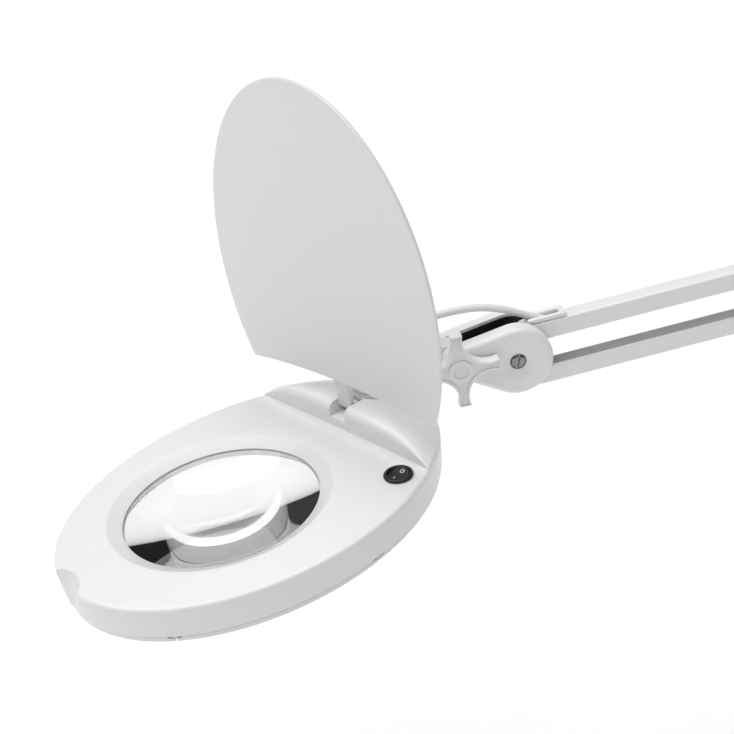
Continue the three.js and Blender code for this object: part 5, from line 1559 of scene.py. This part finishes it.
# Behind the elbow's pivots, from the upper bar to the rear bar, from the middle of the rear pivots.
LEAD_AT_ELBOW = [
    (-21.5, 76.9), (-14, 76.6), (-5.5, 72.6), (2.5, 66.6), (10.8, 60.2), (15.6, 50), (15.8, 38),
    (12, 23), (5.5, 8), (-0.5, -6), (-6.6, -19), (-15.6, -32.4), (-26.2, -45.2), (-36, -57.8), (-42.9, -70.2),
    (-48.6, -81.9),
]
# Out of the rear bar's foot and into the inlet.
LEAD_AT_BASE = [
    (1.8, 134.6), (-2.2, 122.5), (-3.2, 110), (-0.8, 98), (0.8, 87), (1.6, 76), (4.5, 66.6), (11.5, 61),
    (21.7, 60),
]


class LampLead(LampOperator):
    """Lays the lead: three bends over the joints they cross, and two straight runs inside bars."""
    bl_idname = "lamp.lead"
    bl_label = "Lead"

    def make(self, sizes, colours):
        def bend(name, points, place, first, last, low_body, high_body, node):
            """The part of a bend between two of its points, attached to the first of the two bodies."""
            route = smooth_route([(x, 0, z) for x, z in points])[first * 6:last * 6 + 1]
            piece = tube(LEAD_RADIUS, route)
            start, end = place @ route[0], place @ route[-1]
            hand_in(piece, name, place, "flexible_pvc", low_body, "lead_white", node)
            return piece, start, end

        def run(name, place, start, end, body, node):
            """A straight length inside a bar."""
            piece = rod(LEAD_RADIUS, (start, 0, 1.5), (end, 0, 1.5), 24)
            hand_in(piece, name, place, "flexible_pvc", body, "lead_white", node)

        def blended(piece, start, end, low_body, high_body):
            """Frees a bend from its body, with its place baked into its mesh."""
            piece.parent = None
            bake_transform(piece)

        joint_bodies = ["neck", "joint_housing", "arm_end", "upper_bar"]
        for i, (first, last) in enumerate([(0, 4), (4, 8), (8, 10)]):
            bodies = joint_bodies[i], joint_bodies[i + 1]
            piece = bend(f"lead_arch_{i + 1}", LEAD_OVER_JOINT, JOINT, first, last, *bodies, "lead_head")
            blended(*piece, *bodies)
        elbow_bodies = [("upper_bar", "elbow"), ("elbow", "rear_bar_a")]
        for i, (first, last) in enumerate([(0, 7), (7, 15)]):
            bodies = elbow_bodies[i]
            piece = bend(f"lead_bend_{i + 1}", LEAD_AT_ELBOW, ELBOW, first, last, *bodies, "lead_elbow")
            blended(*piece, *bodies)
        bodies = "rear_bar_a", "base"
        blended(*bend("lead_tail", LEAD_AT_BASE, BASE, 0, 8, *bodies, "lead_base"), *bodies)
        run("lead_run_front", UPPER_BAR, 26, BAR_LENGTH - 28, "upper_bar", "lead_front")
        run("lead_run_rear", REAR_BAR_A, 60, BAR_LENGTH - 88, "rear_bar_a", "lead_rear")


class LampStage(LampOperator):
    """Sets the studio: a pale floor, soft light from above and the camera."""
    bl_idname = "lamp.stage"
    bl_label = "Studio"

    def make(self, sizes, colours):
        scene = bpy.context.scene
        scene.view_settings.view_transform = "Standard"
        floor_z = CAD_BOX[0][2] - 2 * MM
        floor = solid(
            [(-9, -9, floor_z), (9, -9, floor_z), (9, 9, floor_z), (-9, 9, floor_z)], [(0, 1, 2, 3)],
            "floor"
        )
        # Matt paint: even and pale, without a highlight.
        tree, shader = shader_material("matt_floor_paint", {"Specular IOR Level": 0.1})
        shaded(tree, shader, noise(tree, 400, 2).outputs[0], dimmed(colours.floor, 0.99), colours.floor)
        varied(tree, shader, "Roughness", noise(tree, 100, 2).outputs[0], 0.8, 0.95)
        floor.data.materials.append(bpy.data.materials["matt_floor_paint"])

        world = bpy.data.worlds.new("studio")
        world.use_nodes = True
        world.node_tree.nodes["Background"].inputs["Color"].default_value = colour("FFFFFF")
        world.node_tree.nodes["Background"].inputs["Strength"].default_value = 0.24
        scene.world = world

        # One broad, even ceiling of light, which leaves upright faces a step darker than level ones.
        ceiling = bpy.data.lights.new("ceiling", "SUN")
        ceiling.angle = math.radians(75)
        ceiling.energy = 2.75
        lamp = bpy.data.objects.new("ceiling", ceiling)
        lamp.rotation_euler = Vector((0.3, -0.03, -1)).to_track_quat("-Z", "Y").to_euler()
        scene.collection.objects.link(lamp)

        camera = bpy.data.objects.new("camera", bpy.data.cameras.new("camera"))
        camera.data.lens = 49.05
        camera.data.sensor_width = 36
        camera.data.clip_end = 50
        camera.location = (-0.4279, -0.6098, 0.7277)
        camera.rotation_euler = Vector((0.1025, 0.8905, -0.4433)).to_track_quat("-Z", "Y").to_euler()
        scene.collection.objects.link(camera)
        scene.camera = camera


OPERATORS = [
    LampStage, LampFinishes,
    LampHeadShell, LampLowerRing, LampOptics, LampLights, LampSwitch, LampCover,
    LampNeck, LampCheeks, LampJointScrews, LampKnob,
    LampBars, LampClip, LampPlates, LampPins, LampSprings,
    LampBase, LampClamp, LampLead,
]


class LampPanel(bpy.types.Panel):
    """Lists the lamp's sizes, colours and operators."""
    bl_idname = "LAMP_PT_panel"
    bl_label = "Magnifier Lamp"
    bl_space_type = "VIEW_3D"
    bl_region_type = "UI"
    bl_category = "Magnifier Lamp"

    def draw(self, context):
        for group in (context.scene.lamp_sizes, context.scene.lamp_colours):
            for key in group.bl_rna.properties.keys():
                if key not in ("name", "rna_type"):
                    self.layout.prop(group, key)
        for operator in OPERATORS:
            self.layout.operator(operator.bl_idname)


CLASSES = [LampSizes, LampColours, *OPERATORS, LampPanel]


def register():
    for cls in CLASSES:
        bpy.utils.register_class(cls)
    bpy.types.Scene.lamp_sizes = bpy.props.PointerProperty(type=LampSizes)
    bpy.types.Scene.lamp_colours = bpy.props.PointerProperty(type=LampColours)


def unregister():
    del bpy.types.Scene.lamp_colours
    del bpy.types.Scene.lamp_sizes
    for cls in reversed(CLASSES):
        bpy.utils.unregister_class(cls)


def main():
    """Makes the whole lamp in its studio."""
    register()
    for operator in OPERATORS:
        group, name = operator.bl_idname.split(".")
        getattr(getattr(bpy.ops, group), name)()


if __name__ == "__main__":
    main()
